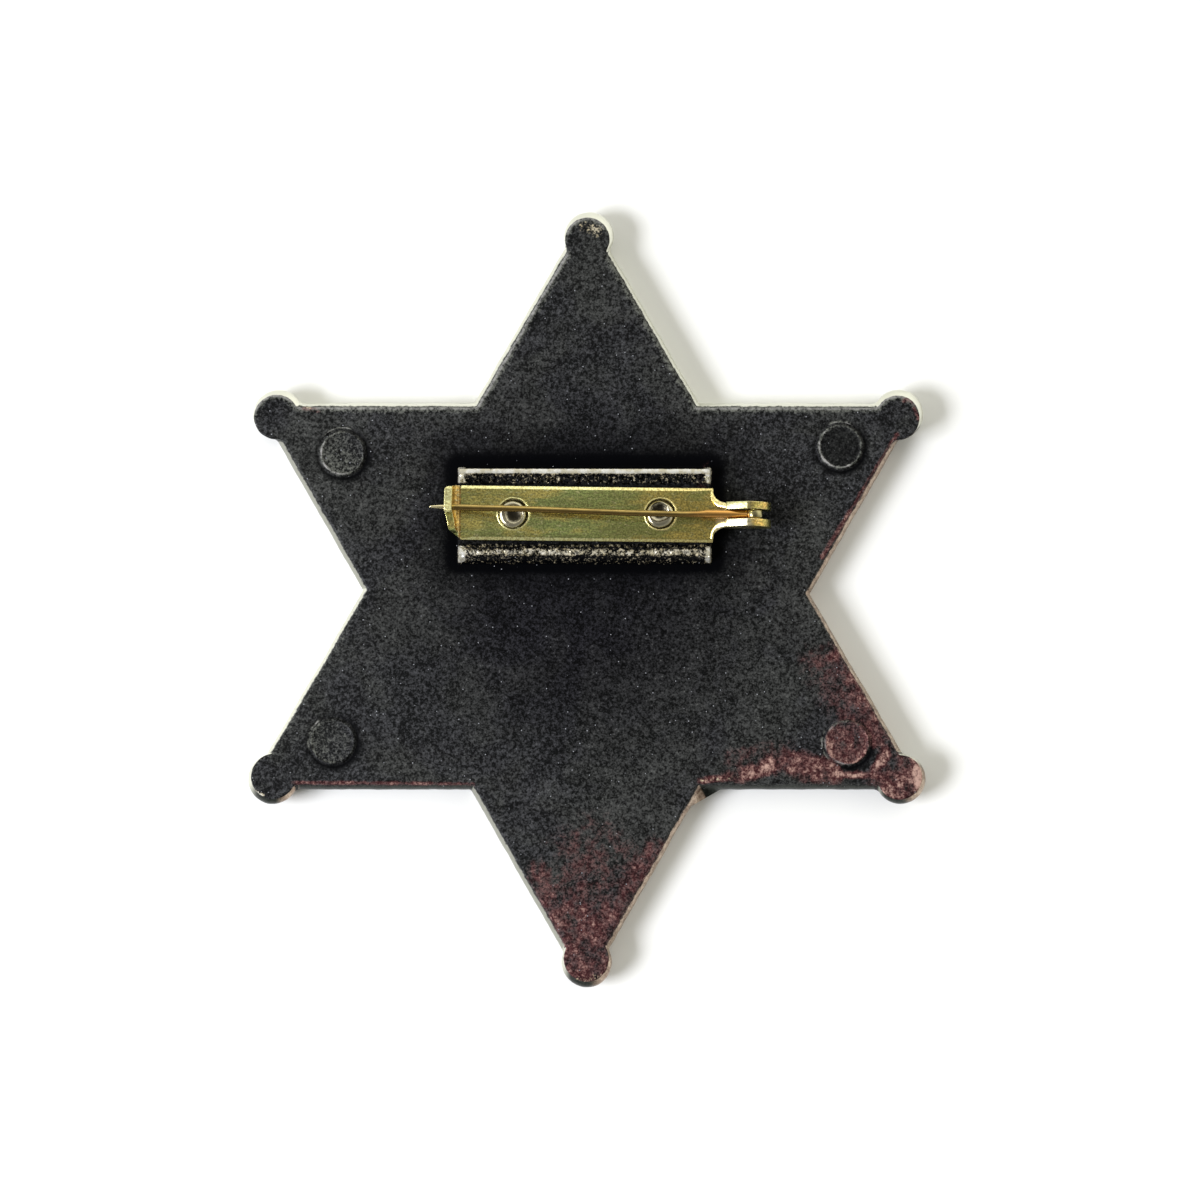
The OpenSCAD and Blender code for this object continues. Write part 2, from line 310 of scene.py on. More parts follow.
def front_z(x, y):
    """The plain front: a field sunk inside a raised rim, and domed balls."""
    depth = star_depth(x, y, STAR_REACH + 0.5)
    z = FIELD_DROP * ease(RIM_W - 0.12, RIM_W + 0.12, depth)
    for bx, by in BALL_CENTRES:
        away = np.hypot(x - bx, y - by)
        dome = DOME_R - np.sqrt(np.maximum(DOME_R**2 - away**2, 0.01))
        z = np.where(away < 2.4, dome + (z - dome) * ease(1.95, 2.3, away), z)
    return z


# Points of the two faces, graded finer where there is relief

def star_line(inset, step):
    """Points along the star's straight edges, at a distance inside them."""
    spots = []
    tip = STAR_REACH - 2 * inset
    corner = tip / math.sqrt(3)
    for a in BALL_WAYS:
        for side in (-1, 1):
            p0 = np.array([corner * math.cos(math.radians(30)), side * corner * 0.5])
            p1 = np.array([tip, 0.0])
            count = int(np.hypot(*(p1 - p0)) / step)
            for j in range(count + 1):
                x, y = p0 + (p1 - p0) * j / count
                spots.append((x * math.cos(a) - y * math.sin(a), x * math.sin(a) + y * math.cos(a)))
    return np.array(spots)


def ring_of(cx, cy, radius, count, shift=0.0):
    a = (np.arange(count) + shift) * 2 * math.pi / count
    return np.column_stack([cx + radius * np.cos(a), cy + radius * np.sin(a)])


GRID_REACH = 38


def hex_grid(size, seed):
    """An even scatter of points over the whole star, slightly shaken."""
    rng = np.random.default_rng(seed)
    row_gap = size * 0.866
    rows = int(GRID_REACH / row_gap)
    columns = int(GRID_REACH / size)
    spots = []
    for j in range(-rows, rows + 1):
        for i in range(-columns, columns + 1):
            spots.append(((i + 0.5 * (j % 2)) * size, j * row_gap))
    spots = np.array(spots)
    return spots + rng.uniform(-0.12, 0.12, spots.shape) * size


# Rings of points over each disc: (radius, points)
DISC_RINGS = [(0.5, 18), (1.0, 36), (1.45, 36)]
DISC_RINGS += [(r, 84) for r in (1.75, 1.88, 1.95, 2.02, 2.09, 2.15, 2.22, 2.3, 2.4, 2.5, 2.65)]
# Rings of points over each ball's back and dome, by radius
BALL_RINGS = [0.35, 0.75, 1.1, 1.4, 1.65, 1.85]
DOME_RINGS = [0.4, 0.8, 1.15, 1.45, 1.7, 1.98, 2.06, 2.14, 2.22, 2.3]
# Rows of points along the pad by their distance from its middle, above the bar and below it
UPPER_ROWS = [4.88, 4.78, 4.7, 4.62, 4.54, 4.46, 4.4, 4.34, 4.28, 4.2, 4.12, 4.04, 3.97, 3.9, 3.8]
UPPER_ROWS += [3.68, 3.56, 3.44, 3.32, 3.2, 3.08, 2.96, 2.86, 2.7]
LOWER_ROWS = [4.94, 4.84, 4.74, 4.64, 4.53, 4.42, 4.31, 4.2, 4.1, 4.01, 3.92, 3.82, 3.72, 3.62, 3.52]
LOWER_ROWS += [3.43, 3.35, 3.28, 3.2, 3.12, 3.04, 2.96, 2.88, 2.7]
# Columns of points at the pad's ends, by how far they lie beyond it
END_COLUMNS = [0.3, 0.16, 0.1, 0.04, -0.02, -0.08, -0.14]
# How far the back's coarse points stay from the pad's middle line, from its ends and from a disc's middle
PAD_CLEAR = 5.05
END_CLEAR = 0.45
DISC_CLEAR = 2.85
# How near two points of the back or of the front may lie to each other, and to the outline
BACK_GAP = 0.055
FRONT_GAP = 0.07
EDGE_GAP = 0.1


def pad_points():
    """Rows of points along the pad's relief, and coarser ones in its channel under the bar."""
    west = [PAD_X0 - e for e in END_COLUMNS]
    east = [PAD_X1 + e for e in END_COLUMNS]
    columns = west + list(np.arange(PAD_X0 + 0.28, PAD_X1 - 0.2, 0.13)) + east[::-1]
    rows = [PAD_Y + s for s in UPPER_ROWS] + [PAD_Y - s for s in LOWER_ROWS]
    spots = [(c, row) for row in rows for c in columns]
    spots += [(c, PAD_Y + s) for c in west + east for s in np.arange(-2.45, 2.5, 0.35)]
    channel = np.arange(PAD_X0 + 0.6, PAD_X1 - 0.5, 0.7)
    spots += [(c, PAD_Y + s) for c in channel for s in np.arange(-2.3, 2.4, 0.65)]
    return np.array(spots)


def ball_points(radii, first, more):
    """Rings of points over the six balls, with first points on the inner ring and more on each next one."""
    return [
        ring_of(bx, by, r, first + more * i, 0.5 * (i % 2))
        for bx, by in BALL_CENTRES for i, r in enumerate(radii)
    ]


def back_points():
    coarse = hex_grid(0.58, 5)
    x, y = coarse.T
    keep = (np.abs(y - PAD_Y) > PAD_CLEAR) | (x < PAD_X0 - END_CLEAR) | (x > PAD_X1 + END_CLEAR)
    for cx, cy in DISC_CENTRES:
        keep &= np.hypot(x - cx, y - cy) > DISC_CLEAR
    sets = [coarse[keep]]
    for cx, cy in DISC_CENTRES:
        for i, (r, count) in enumerate(DISC_RINGS):
            sets.append(ring_of(cx, cy, r, count, 0.5 * (i % 2)))
    sets.append(pad_points())
    for inset, step in ((0.34, 0.28), (0.55, 0.34), (0.85, 0.45)):
        sets.append(star_line(inset, step))
    return np.vstack(sets + ball_points(BALL_RINGS, 12, 6))


def front_points():
    sets = [hex_grid(0.95, 6)]
    for inset in (1.02, 1.1, 1.18, 1.26, 1.34, 0.5):
        sets.append(star_line(inset, 0.5))
    return np.vstack(sets + ball_points(DOME_RINGS, 14, 5))


def thin_out(points, fence, gap):
    """Drops points that are outside the fence, near it, or nearer than gap to one already kept."""
    x, y = points.T
    nxt = np.roll(fence, -1, axis=0)
    inside = np.zeros(len(points), bool)
    near = np.full(len(points), 1e9)
    for (x0, y0), (x1, y1) in zip(fence, nxt):
        crosses = ((y0 > y) != (y1 > y)) & (x < (x1 - x0) * (y - y0) / (y1 - y0 + 1e-12) + x0)
        inside ^= crosses
        near = np.minimum(near, (x - x0) ** 2 + (y - y0) ** 2)
    points = points[inside & (near > EDGE_GAP**2)]
    cells = {}
    kept = []
    for p in points:
        cell = (int(p[0] // gap), int(p[1] // gap))
        crowd = False
        for i in (-1, 0, 1):
            for j in (-1, 0, 1):
                for q in cells.get((cell[0] + i, cell[1] + j), ()):
                    if (p[0] - q[0]) ** 2 + (p[1] - q[1]) ** 2 < gap * gap:
                        crowd = True
        if not crowd:
            cells.setdefault(cell, []).append(p)
            kept.append(p)
    return np.array(kept)


def fill_face(fence, points):
    """Triangles over the fence and the points inside it, as indexes into both, the fence first."""
    spots = [Vector(p) for p in fence] + [Vector(p) for p in points]
    loop = [(i, (i + 1) % len(fence)) for i in range(len(fence))]
    _, _, faces, origin, _, _ = delaunay_2d_cdt(spots, loop, [], 1, 1e-6)
    return [tuple(origin[i][0] for i in face) for face in faces]


def near_line(x, y, x0, y0, x1, y1):
    """Distance of each point from a straight stretch."""
    dx, dy = x1 - x0, y1 - y0
    t = clamp01(((x - x0) * dx + (y - y0) * dy) / (dx * dx + dy * dy + 1e-9))
    return np.hypot(x - x0 - t * dx, y - y0 - t * dy)


# Where copper shows through the black finish: stretches (x0, y0, x1, y1, half width, strength)
COPPER = [
    (0.0, -30.0, 0.0, -37.0, 2.6, 0.55),
    (-4.6, -26.5, -1.6, -34.0, 1.0, 0.52),
    (6.2, -24.5, 2.0, -33.8, 1.3, 0.5),
    (0.5, -25.5, 0.5, -30.0, 3.6, 0.36),
    (24.2, -5.6, 27.6, -11.4, 0.9, 0.6),
    (23.2, -6.5, 25.8, -11.0, 2.2, 0.36),
    (10.9, -17.7, 14.5, -17.3, 0.3, 0.7),
    (14.5, -17.3, 19.0, -16.0, 0.6, 0.76),
    (14.0, -15.6, 19.5, -14.8, 1.0, 0.32),
    (18.4, -15.8, 23.4, -17.0, 1.1, 0.64),
    (23.0, -17.1, 27.6, -17.2, 0.3, 0.85),
    (27.8, -16.5, 28.9, -15.2, 0.42, 0.78),
    (26.0, -12.2, 30.2, -15.2, 0.9, 0.5),
    (28.6, -18.4, 31.4, -18.0, 1.5, 0.7),
    (30.2, -15.8, 31.2, -16.2, 0.6, 0.5),
    (31.9, -15.6, 32.2, -18.4, 0.8, 0.95),
    (30.0, 15.7, 22.7, 3.8, 0.2, 0.6),
    (31.5, 18.9, 32.1, 17.2, 0.14, 0.6),
    (30.6, 19.0, 31.2, 19.2, 0.2, 0.5),
    (-28.2, -17.95, -10.8, -18.1, 0.18, 0.6),
    (-27.4, 18.2, -26.0, 18.0, 0.22, 0.45),
    (11.0, 8.2, 11.4, 12.0, 0.8, 0.25),
]
# Bare zinc flecks, in the same way; those on the balls' edges are partly painted highlights
BARE = [
    (-31.9, -18.7, -31.1, -19.2, 0.14, 0.5),
    (-0.3, 36.1, 1.0, 35.5, 0.5, 0.36),
    (-0.9, -36.7, 1.2, -36.4, 0.22, 0.34),
    (-27.9, 19.2, -27.0, 18.3, 0.16, 0.4),
    (10.9, -17.75, 14.8, -17.35, 0.1, 0.4),
]


def stretches(x, y, lines):
    """How much each point lies on any of the stretches."""
    worn = np.zeros(np.shape(x))
    for x0, y0, x1, y1, width, strength in lines:
        away = near_line(x, y, x0, y0, x1, y1)
        worn = np.maximum(worn, strength * ease(2.0 * width, 0.5 * width, away))
    return worn


# Edges that turn by more than this stay sharp, in degrees
SHARP = 40


def add_piece(name, mesh, materials, body):
    """A mesh as a piece of the badge, smooth but for its sharp edges."""
    for material in materials:
        mesh.materials.append(material)
    mesh.shade_smooth()
    mesh.set_sharp_from_angle(angle=math.radians(SHARP))
    piece = bpy.data.objects.new(name, mesh)
    bpy.context.collection.objects.link(piece)
    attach(piece, body)
    return piece


def build_piece(name, points, faces, material, body):
    """A piece from points in millimetres and their faces."""
    mesh = bpy.data.meshes.new(name)
    mesh.from_pydata([tuple(p * MM for p in q) for q in points], [], faces)
    mesh.validate()
    return add_piece(name, mesh, [material], body)


def back_outline():
    """The back face's outline without its unevenness, with its ballness."""
    return whole_outline(0.0, BALL_BACK_R, WALL[0][4])


def outward(ring):
    """The unit normal at each point of a closed counter-clockwise ring."""
    along = np.roll(ring, -1, axis=0) - np.roll(ring, 1, axis=0)
    normal = np.column_stack([along[:, 1], -along[:, 0]])
    return normal / np.linalg.norm(normal, axis=1)[:, None]


def with_web(ring, at_front):
    """A ring with its inner corner at the lower right filled by the web of flash."""
    way = heading(math.radians(-60))
    out = ring @ way
    beside = np.abs(ring @ [-way[1], way[0]])
    reach = (STAR_REACH + 1.0) / math.sqrt(3) + WEB_LEG / 2 - (0.15 if at_front else 0.0)
    lift = np.where((out < reach) & (beside < WEB_LEG) & (out > 0), reach - out, 0.0)
    return ring + lift[:, None] * way


def wall_rings():
    """The side wall from the back to the front: its rings seen from above, and their points."""
    base, _ = back_outline()
    wobble = 0.05 * roughen(*base.T, 2.6, 30.0) + 0.03 * roughen(*base.T, 0.7, 31.0)
    uneven = outward(base) * wobble[:, None]
    rings, points = [], []
    for offset, arm_z, ball_r, ball_z, ball_out in WALL:
        ring, ballness = whole_outline(offset, ball_r, ball_out, float(ease(2.95, 2.4, ball_z)))
        ring = ring + uneven * (0.6 if arm_z > 2.95 else 1.0)
        if arm_z < WEB_H + 0.05:
            ring = with_web(ring, arm_z < 0.1)
        z = arm_z * (1 - ballness) + ball_z * ballness
        rings.append(ring)
        points += [(a, b, c) for (a, b), c in zip(ring, z)]
    return rings, points


def close_ring(points, faces, fence, first, inner, height, downward):
    """Fills the ring whose points begin at first with triangles over the relief of the inner points."""
    count = len(fence)
    start = len(points)
    spots = np.vstack([fence, inner])
    for face in fill_face(fence, inner):
        corners = [first + i if i < count else start + i - count for i in face]
        a, b, c = (spots[i] for i in face[:3])
        turn = (b[0] - a[0]) * (c[1] - a[1]) - (b[1] - a[1]) * (c[0] - a[0])
        if (turn < 0) != downward:
            corners.reverse()
        faces.append(tuple(corners))
    points.extend((a, b, c) for (a, b), c in zip(inner, height(*inner.T)))


def write_mask(piece, name, values):
    layer = piece.data.attributes.new(name, "FLOAT", "POINT")
    layer.data.foreach_set("value", np.asarray(values, np.float32))


def cast_star(material):
    """The whole casting but for the studs: side wall, back with its relief, and the plain front."""
    rings, points = wall_rings()
    count = len(rings[0])
    last = len(WALL) - 1
    faces = []
    for k in range(last):
        for i in range(count):
            j = (i + 1) % count
            faces.append((k * count + i, (k + 1) * count + i, (k + 1) * count + j, k * count + j))
    inner = thin_out(back_points(), rings[0], BACK_GAP)
    close_ring(points, faces, rings[0], 0, inner, back_z, False)
    inner = thin_out(front_points(), rings[last], FRONT_GAP)
    close_ring(points, faces, rings[last], last * count, inner, front_z, True)
    star = build_piece("star_casting", points, faces, material, "badge")
    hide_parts("star_body")
    paint_star(star, np.array(points))


# The wear of each disc, with a painted highlight on the side toward the light: (way that its rim shines,
# rim's least rub, rim's further rub, face's rub, face's copper)
DISC_WEAR = [
    (215, 0.55, 0.55, 0.05, 0.0),
    (215, 0.4, 0.7, 0.4, 0.0),
    (200, 0.2, 0.5, 0.26, 0.0),
    (215, 0.55, 0.6, 0.15, 0.85),
]
# How bare the side wall is, ring by ring from the back: (balls, arms). The other rings are quite bare.
WALL_BARE = [(0.0, 0.0), (0.0, 0.0), (0.45, 0.0), (1.0, 0.0), (1.0, 0.5)]
# How many of the side wall's rings share the back edge's rub
RUBBED_RINGS = 4


def ways_out(ring):
    """The direction that each point of a closed ring faces."""
    nx, ny = outward(ring).T
    return np.arctan2(ny, nx)


def turned_to(turn, degrees):
    """1 where a direction is the given one, and -1 where it is the opposite one."""
    return np.cos(turn - math.radians(degrees))


def pad_ends(x):
    return band(x, PAD_X0 - 0.2, PAD_X0 + 0.05, PAD_X1 - 0.05, PAD_X1 + 0.2)


def pad_wear(x, y):
    """Bare zinc on the pad's crests, slopes, walls and ends, with painted highlights on the upper crest and
    the rounded ends, where they catch the light.
    """
    across = np.abs(y - PAD_Y)
    upper = y > PAD_Y
    # The upper crest is partly a painted highlight: its edge catches the light
    upper_crest = np.exp(-(((across - 4.16) / 0.25) ** 4))
    lower_crest = np.exp(-(((across - 3.66) / 0.42) ** 4)) * 0.46
    bare = np.where(upper, upper_crest, lower_crest)
    bare = np.maximum(bare, pad_band("worn_slope", y) * np.where(upper, 0.245, 0.3))
    bare = np.maximum(bare, pad_band("worn_wall", y) * np.where(upper, 0.1, 0.22))
    # Painted highlight: the rounded ends, which catch the light, are painted bright as bare zinc
    ends = clamp01(bell(x, PAD_X0 + 0.25, 0.5) + bell(x, PAD_X1 - 0.2, 0.4))
    ends = ends * band(across, 2.9, 3.2, 4.45, 4.75)
    return np.maximum(bare, ends * 0.95) * pad_ends(x)


def disc_wear(x, y):
    """Rub and copper on the ejector discs, their rims and their burrs, with a painted highlight on the side
    of each rim and face toward the light.
    """
    rubbed = np.zeros(len(x))
    copper = np.zeros(len(x))
    patchy = 0.85 + 0.6 * roughen(x, y, 0.8, 40.0)
    for k, ((cx, cy), wear) in enumerate(zip(DISC_CENTRES, DISC_WEAR)):
        rim_way, rim_least, rim_more, face_rub, face_copper = wear
        away = np.hypot(x - cx, y - cy)
        turn = np.arctan2(y - cy, x - cx)
        on_burr = burr_part(k, away, np.degrees(turn) % 360, 0.1, even=True)
        rubbed = np.maximum(rubbed, 0.85 * patchy * on_burr)
        rim = bell(away, 2.03, 0.13) * patchy
        # Painted highlight: each rim is paler on the side that faces the light
        shine = 0.5 + 0.5 * turned_to(turn, rim_way)
        rubbed = np.maximum(rubbed, rim * (rim_least + rim_more * shine))
        # Painted light and shade: each face is paler toward the light and darker away from it
        shade = 0.75 - 0.35 * turned_to(turn, 50) * away / DISC_R
        rubbed = np.maximum(rubbed, ease(2.2, 1.9, away) * face_rub * shade)
        tarnish = face_copper * (0.8 - 0.4 * np.sin(turn) * away / DISC_R)
        copper = np.maximum(copper, ease(2.25, 2.0, away) * tarnish)
    return rubbed, copper


def deep_black(x, y, z):
    """Where the black is deep: unworn round the pad with painted shade beside it, on the darkest disc, and
    in the discs' moats, as painted shade on their sides away from the light.
    """
    across = np.abs(y - PAD_Y)
    beyond_ends = np.maximum(np.maximum(PAD_X0 - x, x - PAD_X1), 0.0) * 0.7
    beyond_sides = np.maximum(across - 4.7, 0.0) * np.where(y > PAD_Y, 0.7, 1.0)
    from_pad = np.hypot(beyond_ends, beyond_sides)
    # Painted shade beside the pad, with a wide soft penumbra, over unworn black
    halo = np.maximum(ease(1.7, 0.4, from_pad), 0.35 * ease(4.0, 1.2, from_pad))
    halo = halo * (1 - 0.7 * pad_ends(x) * ease(4.65, 4.3, across))
    from_dark_disc = np.hypot(x - DISC_CENTRES[0][0], y - DISC_CENTRES[0][1])
    halo = np.maximum(halo, 0.42 * ease(2.1, 1.7, from_dark_disc) * ease(2.9, 2.95, z))
    for cx, cy in DISC_CENTRES:
        moat = bell(np.hypot(x - cx, y - cy), 2.5, 0.24)
        # Painted shade: each moat is darker on its side away from the light
        shade = 0.5 + 0.5 * turned_to(np.arctan2(y - cy, x - cx), -50)
        halo = np.maximum(halo, moat * (0.25 + 0.6 * shade))
    return halo


def wall_masks(number):
    """Masks of the side wall's rings, which come first among the points: bare, bright and tan. Bright marks
    the walls to be painted lit, and tan the east walls to be painted in shade.
    """
    base, ballness = back_outline()
    facing = ways_out(base)
    count = len(base)
    high = ease(14.0, 16.5, base[:, 1])
    neck = bell(ballness, 0.5, 0.35) * (1 - 0.75 * ease(0.9, 1.0, ballness))
    crumbs = neck * ease(-0.05, 0.3, roughen(*base.T, 0.32, 50.0))
    # Painted highlight: walls that face north and west, and the high ones in the north, are marked to be
    # painted lit
    lit_side = ease(-0.35, 0.35, turned_to(facing, 120))
    lit_side = np.maximum(lit_side, high * ease(-0.6, -0.1, turned_to(facing, 75)))
    # Painted shade: walls that face east are marked to be painted tan, as in shade
    east_side = ease(0.35, 0.8, turned_to(facing, -15)) * (1 - high)
    bare, bright, tan = np.zeros((3, number))
    for k in range(len(WALL)):
        ring = slice(k * count, (k + 1) * count)
        on_ball, on_arm = WALL_BARE[k] if k < len(WALL_BARE) else (1.0, 1.0)
        bare[ring] = np.where(ballness > 0.6, on_ball, on_arm) * (1 - crumbs)
        bright[ring] = lit_side
        tan[ring] = east_side
    return bare, bright, tan


def edge_wear(x, y, z):
    """How rubbed the back's edge and the wall's first rings are, most on the sides that face north: partly
    real rub, partly a painted highlight where light falls on those edges.
    """
    base, _ = back_outline()
    # Painted highlight: the edge is made lighter where it faces north and high on the star
    skyward = ease(-0.2, 0.6, turned_to(ways_out(base), 100)) * (0.25 + 0.75 * ease(8.0, 18.0, base[:, 1]))
    inner = np.arange(len(x)) >= len(WALL) * len(base)
    close = inner & (edge_depth(x, y) < 1.1) & (z > 2)
    gaps = np.hypot(x[close, None] - base[None, :, 0], y[close, None] - base[None, :, 1])
    rub = np.zeros(len(x))
    rub[close] = ease(0.8, 0.05, gaps.min(axis=1)) * skyward[np.argmin(gaps, axis=1)]
    rub[:RUBBED_RINGS * len(base)] = np.tile(skyward, RUBBED_RINGS)
    return rub


def paint_star(star, spots):
    """The masks that the casting's material reads, one value a point."""
    x, y, z = spots.T
    on_back = ease(2.2, 2.9, z)
    disc_rub, disc_copper = disc_wear(x, y)
    wall_bare, wall_painted_light, wall_painted_shade = wall_masks(len(x))
    masks = {
        "copper": np.maximum(stretches(x, y, COPPER) * on_back, disc_copper),
        # Bare zinc, with painted highlights on the pad's upper crest and ends and on the balls' edges
        "bare": np.maximum(stretches(x, y, BARE) * on_back, pad_wear(x, y)),
        # Unworn black, and painted shade round the pad and in the discs' moats
        "deep_black_and_shade": deep_black(x, y, z),
        "side_wall": wall_bare,
        # Paler black towards the arms, darker in the middle
        "outward_paling": ease(6.0, 24.0, np.hypot(x, y - 2.0)),
        # The side wall's painted highlight and painted shade
        "side_painted_light": wall_painted_light,
        "side_painted_shade": wall_painted_shade,
        # Rub on the discs and edges, partly painted highlight on the sides that face the light
        "rubbed": np.maximum(disc_rub, edge_wear(x, y, z) * 0.72),
    }
    for name, values in masks.items():
        write_mask(star, name, values)


# Materials

class Net:
    """Adds nodes to one tree, with each input given as a value or as another node's output."""

    def __init__(self, tree):
        self.tree = tree
        self.column = 0

    def add(self, kind, set_to=None, out=0, **inputs):
        made = self.tree.nodes.new(kind)
        made.location = (self.column * 180, -200 * (len(self.tree.nodes) % 5))
        self.column += 1
        for key, value in (set_to or {}).items():
            setattr(made, key, value)
        for key, value in inputs.items():
            name = key.replace("_", " ")
            socket = made.inputs[int(key[1:])] if key[0] == "i" and key[1:].isdigit() else made.inputs[name]
            self.join(value, socket)
        return made if out is None else made.outputs[out]

    def join(self, value, socket):
        if isinstance(value, bpy.types.NodeSocket):
            self.tree.links.new(value, socket)
        elif value is not None:
            if socket.type == "RGBA" and len(value) == 3:
                value = (*value, 1.0)
            socket.default_value = value

    def calculate(self, kind, a, b):
        return self.add("ShaderNodeMath", {"operation": kind}, i0=a, i1=b)

    def sum(self, a, b):
        return self.calculate("ADD", a, b)

    def minus(self, a, b):
        return self.calculate("SUBTRACT", a, b)

    def times(self, a, b):
        return self.calculate("MULTIPLY", a, b)

    def over(self, a, b):
        return self.calculate("DIVIDE", a, b)

    def larger(self, a, b):
        return self.calculate("MAXIMUM", a, b)

    def below(self, a, b):
        return self.calculate("LESS_THAN", a, b)

    def sway(self, value, much):
        """The swing of a value about one half, times much."""
        return self.times(self.minus(value, 0.5), much)

    def shaken(self, value, *noises):
        """A value with noises that swing about it: each is (noise, how much)."""
        for swing, much in noises:
            value = self.sum(value, self.sway(swing, much))
        return value

    def step(self, value, low, high, start=0.0, end=1.0):
        """Goes smoothly from start to end as value goes from low to high."""
        return self.add(
            "ShaderNodeMapRange", {"interpolation_type": "SMOOTHSTEP"},
            Value=value, From_Min=low, From_Max=high, To_Min=start, To_Max=end,
        )

    def tint(self, share, a, b):
        return self.mix("MIX", share, a, b)

    def dye(self, a, b):
        """Two colours multiplied."""
        return self.mix("MULTIPLY", 1.0, a, b)

    def mix(self, kind, share, a, b):
        made = self.add("ShaderNodeMix", {"data_type": "RGBA", "blend_type": kind}, out=None)
        self.join(share, made.inputs[0])
        self.join(a, made.inputs[6])
        self.join(b, made.inputs[7])
        return made.outputs[2]

    def mask(self, name):
        settings = {"attribute_name": name, "attribute_type": "GEOMETRY"}
        return self.add("ShaderNodeAttribute", settings, out="Fac")

    def noise(self, place, size, detail=2.0, rough=0.5, twist=0.0):
        """Noise with waves about size mm long, between 0 and 1."""
        return self.add(
            "ShaderNodeTexNoise", {"noise_dimensions": "3D"}, out=0,
            Vector=place, Scale=1.0 / size, Detail=detail, Roughness=rough, Distortion=twist,
        )

    def place(self, stretch=(1, 1, 1)):
        """A point's place on the object in millimetres."""
        spot = self.add("ShaderNodeTexCoord", out="Object")
        return self.add("ShaderNodeMapping", Vector=spot, Scale=[s / MM for s in stretch])


def new_group(name, inputs, outputs):
    """A node group with inputs (name, value), a vector where there is no value, and outputs by name."""
    tree = bpy.data.node_groups.new(name, "ShaderNodeTree")
    for label, value in inputs:
        kind = "NodeSocketVector" if value is None else "NodeSocketFloat"
        socket = tree.interface.new_socket(label, in_out="INPUT", socket_type=kind)
        if value is not None:
            socket.default_value = value
    for label in outputs:
        tree.interface.new_socket(label, in_out="OUTPUT", socket_type="NodeSocketFloat")
    net = Net(tree)
    return net, tree.nodes.new("NodeGroupInput").outputs, tree.nodes.new("NodeGroupOutput").inputs


def metal_grain_group():
    """Fine grain and broad clouds, for every metal of the badge."""
    net, given, gives = new_group(
        "metal_grain",
        [("Vector", None), ("Grain Size", 0.2), ("Cloud Size", 2.0), ("Seed", 0.0)],
        ["Grain", "Cloud", "Height"],
    )
    spot = net.add("ShaderNodeVectorMath", {"operation": "ADD"}, i0=given["Vector"], i1=given["Seed"])
    fine_scale = net.over(1.0, given["Grain Size"])
    broad_scale = net.over(1.0, given["Cloud Size"])
    fine = net.add("ShaderNodeTexNoise", Vector=spot, Scale=fine_scale, Detail=3.0, Roughness=0.65)
    broad = net.add("ShaderNodeTexNoise", Vector=spot, Scale=broad_scale, Detail=4.0, Roughness=0.6)
    net.join(fine, gives["Grain"])
    net.join(broad, gives["Cloud"])
    net.join(net.sum(net.times(fine, 0.7), net.times(broad, 0.3)), gives["Height"])
    return net.tree


def dust_group():
    """Small bright specks of dust, each in its own cell."""
    net, given, gives = new_group(
        "dust_specks",
        [("Vector", None), ("Spacing", 1.5), ("Speck Size", 0.06), ("Share", 0.3)],
        ["Dust"],
    )
    scale = net.over(1.0, given["Spacing"])
    voronoi = {"feature": "F1"}
    cells = net.add("ShaderNodeTexVoronoi", voronoi, out=None, Vector=given["Vector"], Scale=scale)
    away = net.times(cells.outputs["Distance"], given["Spacing"])
    speck = net.step(away, given["Speck Size"], net.times(given["Speck Size"], 0.4))
    pick = net.add("ShaderNodeSeparateColor", out=0, Color=cells.outputs["Color"])
    chosen = net.below(pick, given["Share"])
    net.join(net.times(speck, chosen), gives["Dust"])
    return net.tree


def edge_wear_group():
    """Rubbed edges: where a rounded normal turns away from the true one."""
    net, given, gives = new_group(
        "edge_wear",
        [("Vector", None), ("Radius", 0.00015), ("Breakup Size", 0.3), ("Reach", 0.3)],
        ["Wear"],
    )
    bevel = net.add("ShaderNodeBevel", {"samples": 4}, Radius=given["Radius"])
    true_normal = net.add("ShaderNodeNewGeometry", out="Normal")
    dot = {"operation": "DOT_PRODUCT"}
    same = net.add("ShaderNodeVectorMath", dot, out="Value", i0=bevel, i1=true_normal)
    turned = net.minus(1.0, same)
    scale = net.over(1.0, given["Breakup Size"])
    spot = given["Vector"]
    breakup = net.add("ShaderNodeTexNoise", Vector=spot, Scale=scale, Detail=3.0, Roughness=0.6)
    level = net.shaken(turned, (breakup, 0.35))
    net.join(net.step(level, net.times(given["Reach"], 0.4), given["Reach"]), gives["Wear"])
    return net.tree


GRAIN = metal_grain_group()
DUST = dust_group()
WEAR = edge_wear_group()


def use_group(net, tree, **inputs):
    made = net.tree.nodes.new("ShaderNodeGroup")
    made.node_tree = tree
    for key, value in inputs.items():
        net.join(value, made.inputs[key.replace("_", " ")])
    return made.outputs


def new_material(name):
    material = bpy.data.materials.new(name)
    material.use_nodes = True
    net = Net(material.node_tree)
    shader = material.node_tree.nodes["Principled BSDF"]
    return material, net, shader


def bump(net, height, distance, strength, normal=None):
    """A bump from a height in shares of distance mm."""
    given = {"Strength": strength, "Distance": distance * MM, "Height": height, "Normal": normal}
    return net.add("ShaderNodeBump", **given)


def dress(net, shader, tone, metallic, rough, normal):
    """Sets or joins the four sockets that every metal uses."""
    net.join(tone, shader.inputs["Base Color"])
    net.join(metallic, shader.inputs["Metallic"])
    net.join(rough, shader.inputs["Roughness"])
    net.join(normal, shader.inputs["Normal"])


